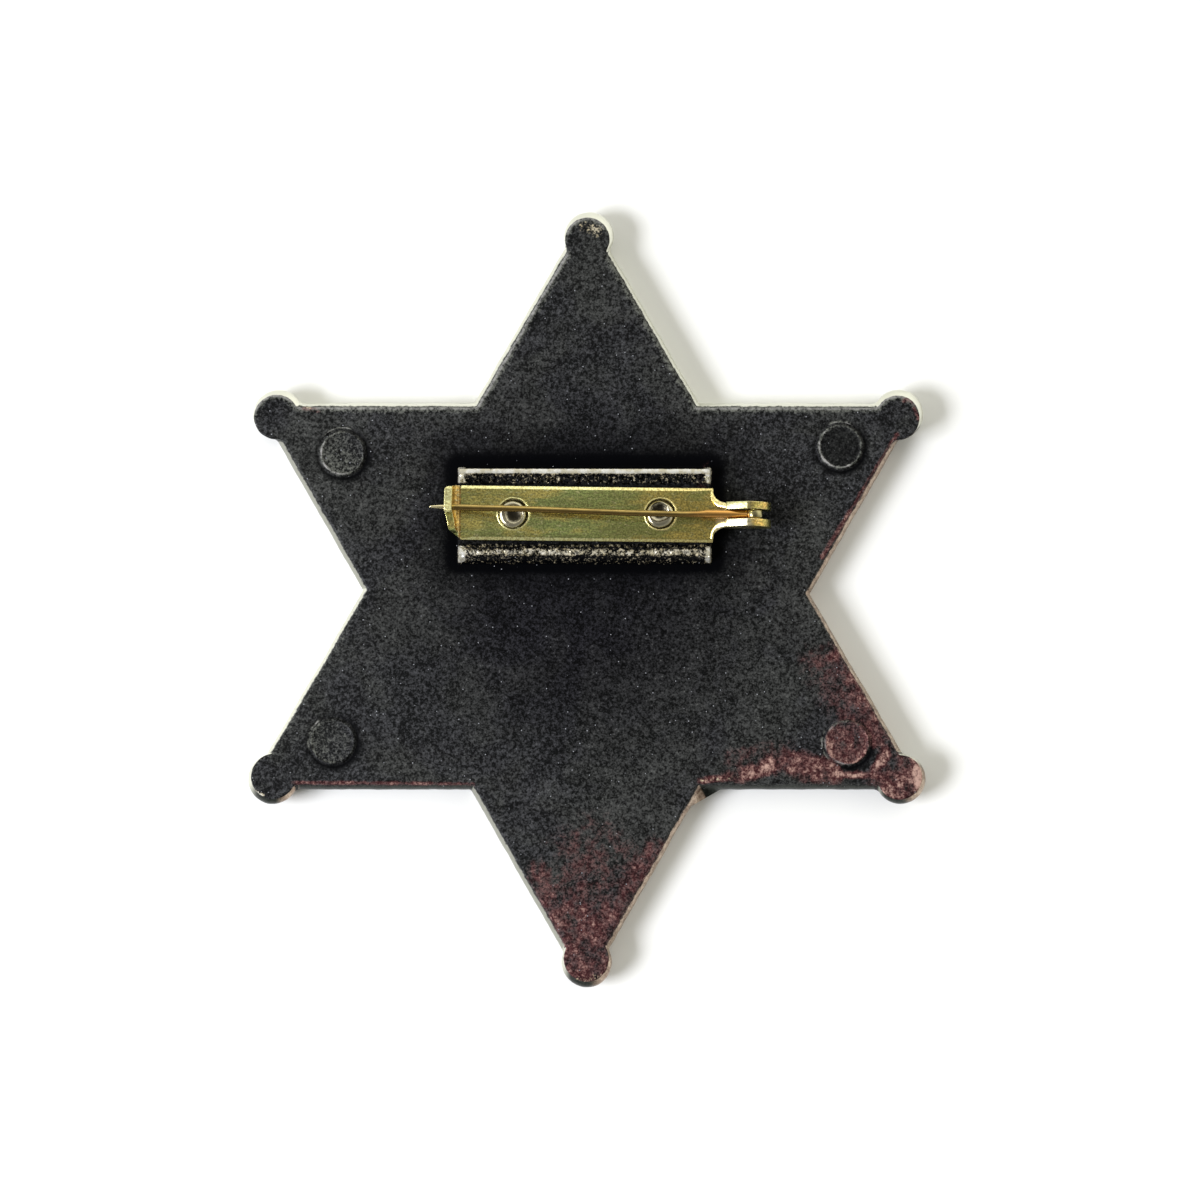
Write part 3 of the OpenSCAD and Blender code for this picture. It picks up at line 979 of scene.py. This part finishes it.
def speckled_black(net, level, patch, deep_and_shaded):
    """The black itself: a grey speckle that thins out in clouds, and is paler away from the middle."""
    outward_paling = net.mask("outward_paling")
    speckle = net.times(net.step(level, 0.405, 0.655), net.step(deep_and_shaded, 0.0, 1.0, 1.0, 0.04))
    black = net.tint(outward_paling, (0.0002, 0.0002, 0.0004), (0.0035, 0.0037, 0.0035))
    grey = net.tint(outward_paling, (0.0215, 0.0212, 0.024), (0.057, 0.058, 0.057))
    black = net.tint(speckle, black, grey)
    black = net.tint(net.step(level, 0.61, 0.77, 0.0, 0.5), black, (0.2, 0.2, 0.19))
    cast = net.tint(net.step(patch, 0.4, 0.6), (0.98, 0.98, 1.04), (1.0, 1.01, 0.97))
    # Deepest black where the black is unworn and where shade is painted
    return net.tint(deep_and_shaded, net.dye(black, cast), (0.0008, 0.0009, 0.0014))


def thin_black(net, fine, grit):
    """Edges and disc rims where the black is thin, which the rub mask also paints lighter as highlights on
    the sides facing the light: how much, and its tone.
    """
    rubbed = net.mask("rubbed")
    shaken = net.sum(net.minus(grit, 0.5), net.sway(fine, 0.8))
    share = net.step(net.sum(shaken, net.times(rubbed, 0.7)), 0.1, 0.75)
    share = net.times(share, net.step(rubbed, 0.02, 0.2))
    return share, net.tint(net.step(rubbed, 0.5, 0.9), (0.15, 0.155, 0.13), (0.32, 0.31, 0.3))


def worn_copper(net, fine, grit, coarse):
    """Copper that shows through in soft streaks with a fine grain: how much, and its tone."""
    smear = net.noise(net.place(stretch=(1.0, 0.55, 1.0)), 1.5, 2.0, 0.6)
    given = net.times(net.mask("copper"), net.step(smear, 0.36, 0.58, 0.7, 1.2))
    shaken = net.shaken(given, (fine, 0.9), (coarse, 0.9))
    share = net.times(net.step(shaken, 0.16, 0.98), net.step(given, 0.04, 0.35))
    rosy = net.step(net.sum(grit, fine), 0.8, 1.2)
    rose = net.tint(rosy, (0.062, 0.018, 0.02), (0.182, 0.078, 0.072))
    return share, net.tint(net.step(net.sum(shaken, grit), 1.15, 1.8), rose, (0.58, 0.38, 0.31))


def bare_zinc(net, fine, grit, coarse):
    """Bare zinc on the pad and in flecks, yellower where it is sparse: how much, and its tone."""
    given = net.mask("bare")
    shaken = net.shaken(given, (coarse, 0.5), (grit, 1.0), (fine, 1.2))
    share = net.times(net.step(shaken, 0.3, 0.72), net.step(given, 0.04, 0.2))
    zinc = net.tint(net.step(coarse, 0.38, 0.62), (0.6, 0.56, 0.42), (0.8, 0.79, 0.72))
    return share, net.tint(net.step(given, 0.6, 0.3), zinc, net.dye(zinc, (0.92, 0.82, 0.62)))


def side_finish(net, level, fine, grit, coarse):
    """The side wall in painted light: a painted cream highlight to the north and west, painted shade near
    black to the south, and painted shade, tan and streaked, to the east.
    """
    given = net.mask("side_wall")
    share = net.step(net.shaken(given, (grit, 0.7)), 0.35, 0.75)
    share = net.times(share, net.step(given, 0.02, 0.2))
    # Painted shade on the south walls, near black
    shaded_south = net.tint(net.step(level, 0.35, 0.7), (0.008, 0.01, 0.008), (0.035, 0.04, 0.034))
    # Painted highlight, cream, on the walls that face the light
    tone = net.tint(net.mask("side_painted_light"), shaded_south, (0.7, 0.7, 0.6))
    # Painted shade, tan and streaked, on the east walls
    streaky = net.step(net.sum(coarse, fine), 0.75, 1.25)
    shaded_east = net.tint(streaky, (0.22, 0.15, 0.11), (0.54, 0.43, 0.33))
    return share, net.tint(net.mask("side_painted_shade"), tone, shaded_east)


def blackened_casting():
    """Blackened zinc, mottled, with bare crests, coppery wear and a side wall with painted highlights and
    painted shade by the way it faces.
    """
    material, net, shader = new_material("blackened_casting")
    spot = net.place()
    grain = use_group(net, GRAIN, Vector=spot, Grain_Size=0.17, Cloud_Size=2.2)
    fine = grain["Grain"]
    grit = net.noise(spot, 0.36, 2.0, 0.6)
    coarse = net.noise(spot, 0.8, 3.0, 0.6)
    patch = net.noise(spot, 6.5, 3.0, 0.55, 0.6)
    dust = use_group(net, DUST, Vector=spot, Spacing=0.7, Speck_Size=0.068, Share=0.5)["Dust"]
    deep_and_shaded = net.mask("deep_black_and_shade")
    level = net.sum(net.times(fine, 0.6), net.times(grit, 0.4))
    level = net.shaken(level, (grain["Cloud"], 0.14), (patch, 0.12))

    thin, thin_tone = thin_black(net, fine, grit)
    copper, copper_tone = worn_copper(net, fine, grit, coarse)
    bare, zinc_tone = bare_zinc(net, fine, grit, coarse)
    wall, wall_tone = side_finish(net, level, fine, grit, coarse)
    tone = speckled_black(net, level, patch, deep_and_shaded)
    tone = net.tint(thin, tone, thin_tone)
    tone = net.tint(copper, tone, copper_tone)
    tone = net.tint(bare, tone, zinc_tone)
    tone = net.tint(wall, tone, wall_tone)
    tone = net.tint(dust, tone, (0.34, 0.35, 0.37))
    metallic = net.larger(net.times(copper, 0.5), net.times(bare, 0.6))
    metallic = net.larger(metallic, wall)
    rough = net.tint(net.larger(bare, wall), (0.5, 0.5, 0.5), (0.37, 0.37, 0.37))
    height = net.sum(grain["Height"], net.times(grit, 0.6))
    dress(net, shader, tone, metallic, rough, bump(net, height, 0.05, 0.5))
    net.join(net.step(deep_and_shaded, 0.0, 1.0, 0.06, 0.02), shader.inputs["Specular IOR Level"])
    return material


def gilt_brass(name, yellow, green, dull_tone, gloss):
    """Plated brass: finely mottled along the sheet, with brighter rubbed edges."""
    material, net, shader = new_material(name)
    spot = net.place()
    drawn = net.place(stretch=(0.35, 1.0, 1.0))
    grain = use_group(net, GRAIN, Vector=drawn, Grain_Size=0.2, Cloud_Size=1.5, Seed=4.0)
    wear = use_group(net, WEAR, Vector=spot, Radius=0.00014, Breakup_Size=0.5, Reach=0.3)["Wear"]
    broad = net.noise(drawn, 3.2, 2.0, 0.5)
    dull = net.step(net.sum(grain["Grain"], grain["Cloud"]), 0.75, 1.25)
    level = net.sum(net.times(grain["Cloud"], 0.5), net.times(broad, 0.5))
    tone = net.tint(net.step(level, 0.45, 0.55), yellow, green)
    tone = net.tint(net.times(dull, 0.85), tone, dull_tone)
    tone = net.tint(net.step(grain["Grain"], 0.53, 0.72, 0.0, 0.6), tone, (0.85, 0.82, 0.45))
    part = net.add("ShaderNodeSeparateXYZ", out=None, Vector=spot)
    along, across, above = part.outputs

    # Reddish ears, and a browner sheet towards them
    ears = net.step(net.sum(along, net.times(grain["Cloud"], 1.2)), 15.6, 16.3)
    ears = net.times(ears, net.step(above, 5.2, 6.4))
    ears = net.times(ears, net.step(along, 17.5, 17.0))
    tone = net.tint(net.times(ears, 0.85), tone, net.dye(tone, (1.2, 0.94, 0.88)))
    tone = net.tint(net.step(along, -2.0, 10.0, 0.0, 0.8), tone, net.dye(tone, (0.86, 0.76, 0.66)))
    fine = net.noise(spot, 0.17, 2.0, 0.65)
    mottled = net.tint(net.step(fine, 0.36, 0.64), (0.62, 0.62, 0.58), (1.36, 1.36, 1.3))
    tone = net.dye(tone, mottled)

    # Shoulders painted near white as a highlight where the bends catch the light, long scratches and rubbed
    # edges
    shoulders = net.times(net.step(along, 12.1, 12.9), net.step(along, 16.0, 15.2))
    shoulders = net.times(shoulders, net.step(across, 8.5, 6.9, 0.12, 0.5))
    tone = net.tint(shoulders, tone, (1.0, 0.96, 0.74))
    scratch = net.noise(net.place(stretch=(0.12, 1.6, 1.0)), 0.5, 2.0, 0.6)
    tone = net.tint(net.step(scratch, 0.42, 0.3, 0.0, 0.6), tone, dull_tone)
    tone = net.tint(net.times(wear, 0.7), tone, (1.0, 0.92, 0.52))
    rough = net.step(dull, 0.0, 1.0, gloss, gloss + 0.1)
    rounded = net.add("ShaderNodeBevel", {"samples": 6}, Radius=0.0001)
    dress(net, shader, tone, 1.0, rough, bump(net, grain["Height"], 0.035, 0.6, rounded))
    return material


def coppery_wire():
    material, net, shader = new_material("coppery_wire")
    spot = net.place()
    grain = use_group(net, GRAIN, Vector=spot, Grain_Size=0.3, Cloud_Size=2.2, Seed=9.0)
    tone = net.tint(net.step(grain["Cloud"], 0.4, 0.65), (0.5, 0.36, 0.12), (0.32, 0.23, 0.08))
    along = net.add("ShaderNodeSeparateXYZ", out=0, Vector=spot)
    # Painted shade: the wire's south-facing underside is darker
    facing = net.add("ShaderNodeNewGeometry", out="Normal")
    south = net.add("ShaderNodeSeparateXYZ", out=1, Vector=facing)
    tone = net.tint(net.step(south, 0.3, -0.35, 0.0, 0.75), tone, (0.2, 0.12, 0.035))
    tone = net.tint(net.step(along, 8.5, 12.5, 0.0, 0.95), tone, (0.72, 0.37, 0.1))
    # Painted shade: the eye, between the ears, is darker
    tone = net.tint(net.step(along, 15.0, 15.6), tone, (0.34, 0.3, 0.15))
    tone = net.tint(net.step(along, -12.9, -14.2), tone, (0.78, 0.7, 0.42))
    rough = net.step(grain["Grain"], 0.3, 0.7, 0.16, 0.26)
    dress(net, shader, tone, 1.0, rough, bump(net, grain["Height"], 0.01, 0.4))
    return material


def rubbed_zinc():
    """The stud heads, beaten bright on their rims, with black left in the hollows."""
    material, net, shader = new_material("rubbed_zinc")
    spot = net.place()
    grain = use_group(net, GRAIN, Vector=spot, Grain_Size=0.25, Cloud_Size=0.9, Seed=2.0)
    shake = net.minus(net.sum(grain["Cloud"], grain["Grain"]), 1.0)
    dark = net.step(net.sum(net.mask("soil"), net.times(shake, 0.9)), 0.1, 0.85)
    tone = net.tint(dark, (0.5, 0.46, 0.33), (0.03, 0.026, 0.018))
    rough = net.step(dark, 0.0, 1.0, 0.24, 0.45)
    dress(net, shader, tone, 1.0, rough, bump(net, grain["Height"], 0.04, 0.6))
    return material


CASTING = blackened_casting()
BRASS = gilt_brass("gilt_brass", (0.74, 0.62, 0.2), (0.46, 0.54, 0.2), (0.25, 0.25, 0.09), 0.24)
# Rubbed brass, painted paler as a highlight for the edges, bends, seat rims and hook arm that catch the
# light
RUBBED_LIT_BRASS = gilt_brass(
    "rubbed_lit_brass", (1.0, 0.92, 0.45), (1.0, 0.94, 0.48), (0.85, 0.76, 0.34), 0.26,
)
# Painted shade: brown brass for the inside of the catch's bend
BEND_SHADE_BRASS = gilt_brass("bend_shade_brass", (0.6, 0.4, 0.12), (0.4, 0.26, 0.08), (0.22, 0.13, 0.04), 0.26)
# Painted shade: near black brass down in the studs' seats
SEAT_SHADE_BRASS = gilt_brass(
    "seat_shade_brass", (0.09, 0.07, 0.03), (0.05, 0.04, 0.02), (0.03, 0.024, 0.012), 0.4,
)
WIRE = coppery_wire()
ZINC = rubbed_zinc()

cast_star(CASTING)


# Studs, needle, bar and rivet

def lathe(profile, steps, wobble=0.0, seed=0.0):
    """Points and faces of a closed turned shape about +Z, from its profile of (radius, z)."""
    points, faces = [(0.0, 0.0, profile[0][1])], []
    rows = profile[1:-1]
    for r, z in rows:
        for i in range(steps):
            a = 2 * math.pi * i / steps
            shake = 1 + wobble * noise.noise(Vector((math.cos(a) * 1.5, math.sin(a) * 1.5, seed + z)))
            points.append((r * shake * math.cos(a), r * shake * math.sin(a), z))
    points.append((0.0, 0.0, profile[-1][1]))
    last = len(points) - 1
    for i in range(steps):
        j = (i + 1) % steps
        faces.append((0, 1 + j, 1 + i))
        for k in range(len(rows) - 1):
            a = 1 + k * steps
            faces.append((a + i, a + j, a + steps + j, a + steps + i))
        top = 1 + (len(rows) - 1) * steps
        faces.append((top + i, top + j, last))
    return points, faces


STUD_FOOT_Z = 3.6
STUD_STEPS = 64
# A stud from its foot to the hollow of its spread head: (radius, height over the head's underside,
# black left on it)
STUD_ROWS = [
    (STUD_R, 0.0, 1.0), (1.2, 0.0, 1.0), (1.27, 0.03, 1.0), (1.31, 0.1, 0.8), (1.32, 0.17, 0.35),
    (1.29, 0.27, 0.0), (1.23, 0.36, 0.0), (1.15, 0.43, 0.0), (1.06, 0.48, 0.05), (0.97, 0.49, 0.1),
    (0.88, 0.46, 0.2), (0.79, 0.4, 0.35), (0.7, 0.32, 0.5), (0.6, 0.24, 0.75), (0.48, 0.18, 0.95),
    (0.34, 0.14, 1.0), (0.18, 0.12, 1.0),
]
# Each stud: (name, side of the pad, how far it sits off its place, how far its hollow sits off its middle)
STUDS = [
    ("stud_left", -1, (-0.09, -0.05), (0.14, 0.0)),
    ("stud_right", 1, (-0.06, -0.02), (-0.1, 0.3)),
]


def make_stud(name, side, off, dip):
    """One stud with its beaten head, and the black left on it as a mask."""
    hollow_z = STUD_ROWS[-1][1]
    head = [(r, STUD_HEAD_Z + h) for r, h, _ in STUD_ROWS]
    profile = [(0, STUD_FOOT_Z), (STUD_R, STUD_FOOT_Z)] + head + [(0, STUD_HEAD_Z + hollow_z)]
    points, faces = lathe(profile, STUD_STEPS, 0.04, 3.0 + side)
    radii, _, blacks = zip(*STUD_ROWS[:4:-1])
    shifted = []
    soil = []
    for x, y, z in points:
        away = math.hypot(x, y)
        hollow = float(ease(1.25, 0.75, away)) * float(ease(STUD_HEAD_Z + 0.1, STUD_HEAD_Z + 0.14, z))
        place_x = side * STUD_X + off[0] + dip[0] * hollow
        place_y = PAD_Y + off[1] + dip[1] * hollow
        shifted.append((x + place_x, y + place_y, z))
        on_top = z > STUD_HEAD_Z + 0.11 and away < 1.32
        soil.append(float(np.interp(away, radii, blacks)) if on_top else 1.0)
    stud = build_piece(name, shifted, faces, ZINC, "badge")
    write_mask(stud, "soil", soil)


for stud_row in STUDS:
    make_stud(*stud_row)


# The rivet's direction, and the radius of the hole round it
EYE_AXIS = Vector((0.0104718, 0.9999452, 0))
EYE_HOLE = RIVET_R + 0.05
# How far the wire bows, and over which stretch: (start, full, fade, end) along X
BOW = 0.15
BOW_SPAN = (-8.0, 6.0, 9.0, 13.3)
WIRE_STEPS = 28
EYE_STEPS = 40
SHANK_ROWS = 12
POINT_ROWS = 12


def needle_rings():
    """Stations along the wire from the eye: (distance from the rivet's axis, radius)."""
    shank = NEEDLE_L - POINT_L
    start = ROOT_L + 2
    rows = [(0.62, NEEDLE_R), (0.8, ROOT_R), (ROOT_L, ROOT_R), (ROOT_L + 2 * ROOT_R, NEEDLE_R)]
    rows += [(start + k * (shank - start) / SHANK_ROWS, NEEDLE_R) for k in range(SHANK_ROWS + 1)]
    for k in range(1, POINT_ROWS):
        t = k / POINT_ROWS
        rows.append((shank + POINT_L * t, NEEDLE_R * (1 - t) ** 0.6 + 0.04 * t))
    return rows


def make_needle():
    """The bowed wire with its thicker root and its point, and the eye round the rivet."""
    rows = needle_rings()
    profile = [(0, rows[0][0])] + [(r, d) for d, r in rows] + [(0, NEEDLE_L)]
    points, faces = lathe(profile, WIRE_STEPS)
    turn = NEEDLE_DIR.to_track_quat("Z", "Y").to_matrix()
    points = [HINGE + turn @ Vector(p) for p in points]
    for point in points:
        point.y -= BOW * float(band(point.x, *BOW_SPAN))
    ring = [
        (EYE_HOLE, -0.3), (EYE_HOLE + 0.05, -ROOT_R + 0.01), (EYE_R - 0.08, -ROOT_R + 0.01), (EYE_R, -0.28),
    ]
    ring += [(r, -w) for r, w in reversed(ring)]
    eye_turn = EYE_AXIS.to_track_quat("Z", "Y").to_matrix()
    first = len(points)
    for r, w in ring:
        for i in range(EYE_STEPS):
            a = 2 * math.pi * i / EYE_STEPS
            points.append(HINGE + eye_turn @ Vector((r * math.cos(a), r * math.sin(a), w)))
    for k in range(len(ring)):
        for i in range(EYE_STEPS):
            j = (i + 1) % EYE_STEPS
            a, b = first + k * EYE_STEPS, first + (k + 1) % len(ring) * EYE_STEPS
            faces.append((a + i, a + j, b + j, b + i))
    piece = build_piece("needle_wire", points, faces, WIRE, "needle")
    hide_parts("needle")


make_needle()


def tidy_copy(node):
    """A CAD node's mesh with its flat faces joined, ready for rounding."""
    work = bmesh.new()
    work.from_mesh(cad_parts[node].data)
    bmesh.ops.remove_doubles(work, verts=work.verts, dist=2e-6)
    bmesh.ops.dissolve_limit(
        work, angle_limit=math.radians(0.6), verts=work.verts, edges=work.edges, delimit={"NORMAL"},
    )
    return work


def finish_copy(work, node, name, materials, body, width):
    """The piece that takes a CAD node's place, with its sharp edges slightly rounded."""
    mesh = bpy.data.meshes.new(name)
    work.to_mesh(mesh)
    work.free()
    piece = add_piece(name, mesh, materials, body)
    rounding = piece.modifiers.new("rounded_edges", "BEVEL")
    rounding.width = width * MM
    rounding.segments = 2
    rounding.limit_method = "ANGLE"
    rounding.angle_limit = math.radians(25)
    rounding.harden_normals = True
    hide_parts(node)


def add_shell(work, rings, closed_ends, loop, index):
    """Adds a skin over rings of points to a mesh; loop joins the last ring to the first."""
    rows = [[work.verts.new(Vector(p) * MM) for p in ring] for ring in rings]
    count = len(rows[0])
    for k in range(len(rows) if loop else len(rows) - 1):
        a, b = rows[k], rows[(k + 1) % len(rows)]
        for i in range(count):
            j = (i + 1) % count
            face = work.faces.new((a[i], a[j], b[j], b[i]))
            face.material_index = index
    if closed_ends:
        work.faces.new(rows[0][::-1]).material_index = index
        work.faces.new(rows[-1]).material_index = index


BAR_TOP = 4.57
# Where the catch begins, and where it is cut into strips: (first, end, step) across it
CATCH_X = -12.1
CATCH_CUTS = (5.95, 8.3, 0.22)
# How wide the rubbed slope of a long edge is, and how far its foot is then raised
SLOPE_W = 0.3
SLOPE_RISE = 0.14
# The bar pin's finishes, by their place in its list of materials: rubbed brass painted paler as a
# highlight, painted shade on the catch's bend, and painted shade in the studs' seats
RUBBED_LIT, BEND_SHADE, SEAT_SHADE = 1, 2, 3
# The bends at the bar's hinge end, from its corners up to the ears: (x, y, half width, height)
SHOULDERS = [
    [
        (12.02, 10.1, 0.08, 0.04), (12.04, 9.8, 0.11, 0.1), (12.1, 9.5, 0.16, 0.2),
        (12.2, 9.22, 0.22, 0.34), (12.36, 8.98, 0.28, 0.48), (12.68, 8.72, 0.31, 0.62),
        (13.08, 8.6, 0.3, 0.78), (13.5, 8.54, 0.28, 0.95),
    ],
    [
        (11.98, 5.45, 0.08, 0.03), (12.0, 5.76, 0.12, 0.1), (12.08, 6.02, 0.18, 0.2),
        (12.24, 6.3, 0.24, 0.34), (12.5, 6.55, 0.29, 0.48), (12.84, 6.72, 0.31, 0.65),
        (13.15, 6.8, 0.3, 0.8), (13.5, 6.84, 0.28, 0.95),
    ],
]
SHOULDER_STEPS = 16
# The raised rim of a stud's seat, from its inner foot to its outer one: (radius, height above the bar)
SEAT_RIM = [(1.44, -0.3), (1.45, -0.03), (1.48, 0.02), (1.53, 0.035), (1.58, 0.02), (1.63, -0.08)]
SEAT_R = 1.55
RIM_STEPS = 72


def cut_catch(work):
    """Cuts the catch into strips, so that it can be bent."""
    for level in np.arange(*CATCH_CUTS):
        near = [f for f in work.faces if f.calc_center_median().x < -12.5 * MM]
        parts = dict.fromkeys(near)
        parts.update(dict.fromkeys(e for f in near for e in f.edges))
        parts.update(dict.fromkeys(v for f in near for v in f.verts))
        bmesh.ops.bisect_plane(
            work, geom=list(parts), plane_co=(0, level * MM, 0), plane_no=(0, 1, 0), dist=1e-7,
        )


def mark_finishes(work):
    """Painted shade, brown, on the bend, rubbed brass painted as a highlight on the hook's arm, and painted
    shade in the studs' seats.
    """
    for face in work.faces:
        middle = face.calc_center_median() / MM
        from_stud = min(math.hypot(middle.x - side * STUD_X, middle.y - PAD_Y) for side in (-1, 1))
        # Painted shade on the inner face of the catch's bend
        if -12.86 < middle.x < CATCH_X and middle.z < 5.6:
            face.material_index = BEND_SHADE
        elif middle.x < -12.8 and middle.z > 6.3:
            face.material_index = RUBBED_LIT
        # Painted shade in the studs' seats, below the bar's top
        elif from_stud < SEAT_R and middle.z < BAR_TOP - 0.02:
            face.material_index = SEAT_SHADE


def bend_catch(work):
    """Leans the catch's lower part inward, hollows its middle, and spreads and lowers its corners."""
    for v in work.verts:
        x, y, z = (c / MM for c in v.co)
        if x > CATCH_X:
            continue
        lean = 0.3 * ease(8.3, 6.3, y) + 0.5 * ease(6.4, 5.7, y)
        moved_x = x + float(lean * ease(-12.2, -13.1, x)) - 0.05 * float(band(y, 7.0, 8.5, 9.0, 10.3))
        moved_y = y
        moved_z = z
        if y > 10.2 and z < 5.5:
            moved_y += 0.26 * float(ease(-13.4, -12.6, x))
        if 5.5 < y < 5.9 and z < 4.8:
            moved_y -= 0.32 * float(ease(-13.3, -12.6, x))
        if x < -13.3 and z > 6.4:
            moved_z -= 0.09
            if y > 9.9:
                moved_x += 0.3 * ((y - 9.9) / 0.36) ** 2
        v.co = Vector((moved_x, moved_y, moved_z)) * MM


def at_side(v):
    """Whether a point lies along one of the bar's long edges."""
    return abs(v.co.y / MM - PAD_Y) > 2.2


def rub_long_edges(work):
    """Slopes the bar's two long top edges, and gives the slopes the rubbed finish, painted paler as a
    highlight.
    """
    long_edges = []
    for edge in work.edges:
        a, b = edge.verts
        at_top = all(abs(v.co.z / MM - BAR_TOP) < 0.01 and at_side(v) for v in (a, b))
        if at_top and abs(a.co.x - b.co.x) > 5 * MM:
            long_edges.append(edge)
    bmesh.ops.bevel(
        work, geom=long_edges, offset=SLOPE_W * MM, segments=1, profile=0.5,
        affect="EDGES", clamp_overlap=False, material=RUBBED_LIT,
    )
    for v in work.verts:
        at_foot = abs(v.co.z / MM - BAR_TOP + SLOPE_W) < 0.02
        if at_foot and at_side(v) and abs(v.co.x) < 12.3 * MM:
            v.co.z += SLOPE_RISE * MM


def add_shoulder(work, row):
    """One of the bends that lead from the bar's corner to an ear, as a flattened rod."""
    rings = []
    for k, (x, y, half, high) in enumerate(row):
        x0, y0, _, _ = row[max(k - 1, 0)]
        x1, y1, _, _ = row[min(k + 1, len(row) - 1)]
        side = Vector((y1 - y0, x0 - x1)).normalized()
        ring = []
        for i in range(SHOULDER_STEPS):
            a = 2 * math.pi * i / SHOULDER_STEPS
            flat = half * math.cos(a)
            sunk = 0.5 * high if math.sin(a) < -0.1 else 0.0
            z = BAR_TOP + high - 0.1 + 0.12 * math.sin(a) - sunk
            ring.append((x + side.x * flat, y + side.y * flat, z))
        rings.append(ring)
    # The bend takes the rubbed finish, painted pale as a highlight
    add_shell(work, rings, True, False, RUBBED_LIT)


def add_seat_rim(work, side):
    """The slightly uneven raised rim round one stud's seat."""
    rings = []
    for i in range(RIM_STEPS):
        a = 2 * math.pi * i / RIM_STEPS
        c, s = math.cos(a), math.sin(a)
        shake = 0.03 * noise.noise(Vector((c * 2, s * 2, side)))
        rings.append([
            (side * STUD_X + (r + shake) * c, PAD_Y + (r + shake) * s, BAR_TOP + h) for r, h in SEAT_RIM
        ])
    # The rim takes the rubbed finish, painted pale as a highlight
    add_shell(work, rings, False, True, RUBBED_LIT)


def make_bar():
    work = tidy_copy("pin_plate")
    cut_catch(work)
    mark_finishes(work)
    bend_catch(work)
    rub_long_edges(work)
    for row in SHOULDERS:
        add_shoulder(work, row)
    for side in (-1, 1):
        add_seat_rim(work, side)
    bmesh.ops.recalc_face_normals(work, faces=work.faces)
    finishes = [BRASS, RUBBED_LIT_BRASS, BEND_SHADE_BRASS, SEAT_SHADE_BRASS]
    finish_copy(work, "pin_plate", "bar_pin", finishes, "badge", 0.06)


def make_rivet():
    work = tidy_copy("hinge_rivet")
    finish_copy(work, "hinge_rivet", "hinge_pin", [BRASS], "badge", 0.04)


make_bar()
make_rivet()


# Floor, light and camera

def plain_floor():
    material, _, shader = new_material("pale_floor")
    shader.inputs["Base Color"].default_value = (0.88, 0.88, 0.84, 1)
    shader.inputs["Roughness"].default_value = 0.9
    shader.inputs["Specular IOR Level"].default_value = 0.1
    mesh = bpy.data.meshes.new("floor")
    half = 1.6
    corners = [(-half, -half, 0), (half, -half, 0), (half, half, 0), (-half, half, 0)]
    mesh.from_pydata(corners, [], [(0, 1, 2, 3)])
    mesh.materials.append(material)
    floor = bpy.data.objects.new("floor", mesh)
    floor.location.z = -0.00002
    bpy.context.collection.objects.link(floor)


def soft_light(name, place, size, power, tone):
    lamp = bpy.data.lights.new(name, "AREA")
    lamp.shape = "RECTANGLE"
    lamp.size, lamp.size_y = size
    lamp.energy = power
    lamp.color = tone
    lamp.spread = math.radians(180)
    holder = bpy.data.objects.new(name, lamp)
    holder.location = place
    holder.rotation_euler = (-Vector(place)).to_track_quat("-Z", "Y").to_euler()
    bpy.context.collection.objects.link(holder)


def studio_world():
    """Dim above, brighter low in the north and east, darker in the south."""
    world = bpy.data.worlds.new("studio")
    bpy.context.scene.world = world
    world.use_nodes = True
    net = Net(world.node_tree)
    background = world.node_tree.nodes["Background"]
    way = net.add("ShaderNodeTexCoord", out="Generated")
    part = net.add("ShaderNodeSeparateXYZ", out=None, Vector=way)
    east = net.step(part.outputs[0], -0.7, 0.8, 1.05, 1.65)
    north = net.step(part.outputs[1], -0.6, 0.3, 0.25, 1.0)
    low = net.step(part.outputs[2], 0.6, 0.93, 1.0, 0.3)
    level = net.times(net.times(low, east), north)
    net.join(level, background.inputs["Strength"])
    background.inputs["Color"].default_value = (1.0, 0.99, 0.93, 1)


# The sensor's width in millimetres, and the lens's length in sensor widths
SENSOR_W = 36
LENS_L = 2567 / 1200


def photo_camera():
    lens = bpy.data.cameras.new("camera")
    lens.sensor_width = SENSOR_W
    lens.lens = LENS_L * SENSOR_W
    lens.clip_start = 0.01
    lens.clip_end = 10
    camera = bpy.data.objects.new("camera", lens)
    turn = Matrix.Rotation(-0.0034, 4, "Y") @ Matrix.Rotation(0.0575, 4, "X")
    turn = turn @ Matrix.Rotation(0.001, 4, "Z")
    camera.matrix_world = Matrix.Translation((0.00043, -0.01457, 0.25)) @ turn
    bpy.context.collection.objects.link(camera)
    bpy.context.scene.camera = camera


plain_floor()
soft_light("window", (-0.4545, -0.1303, 0.3694), (0.3, 0.2), 4.6, (0.97, 0.985, 1.08))
studio_world()
photo_camera()
bpy.context.scene.view_settings.view_transform = "Standard"
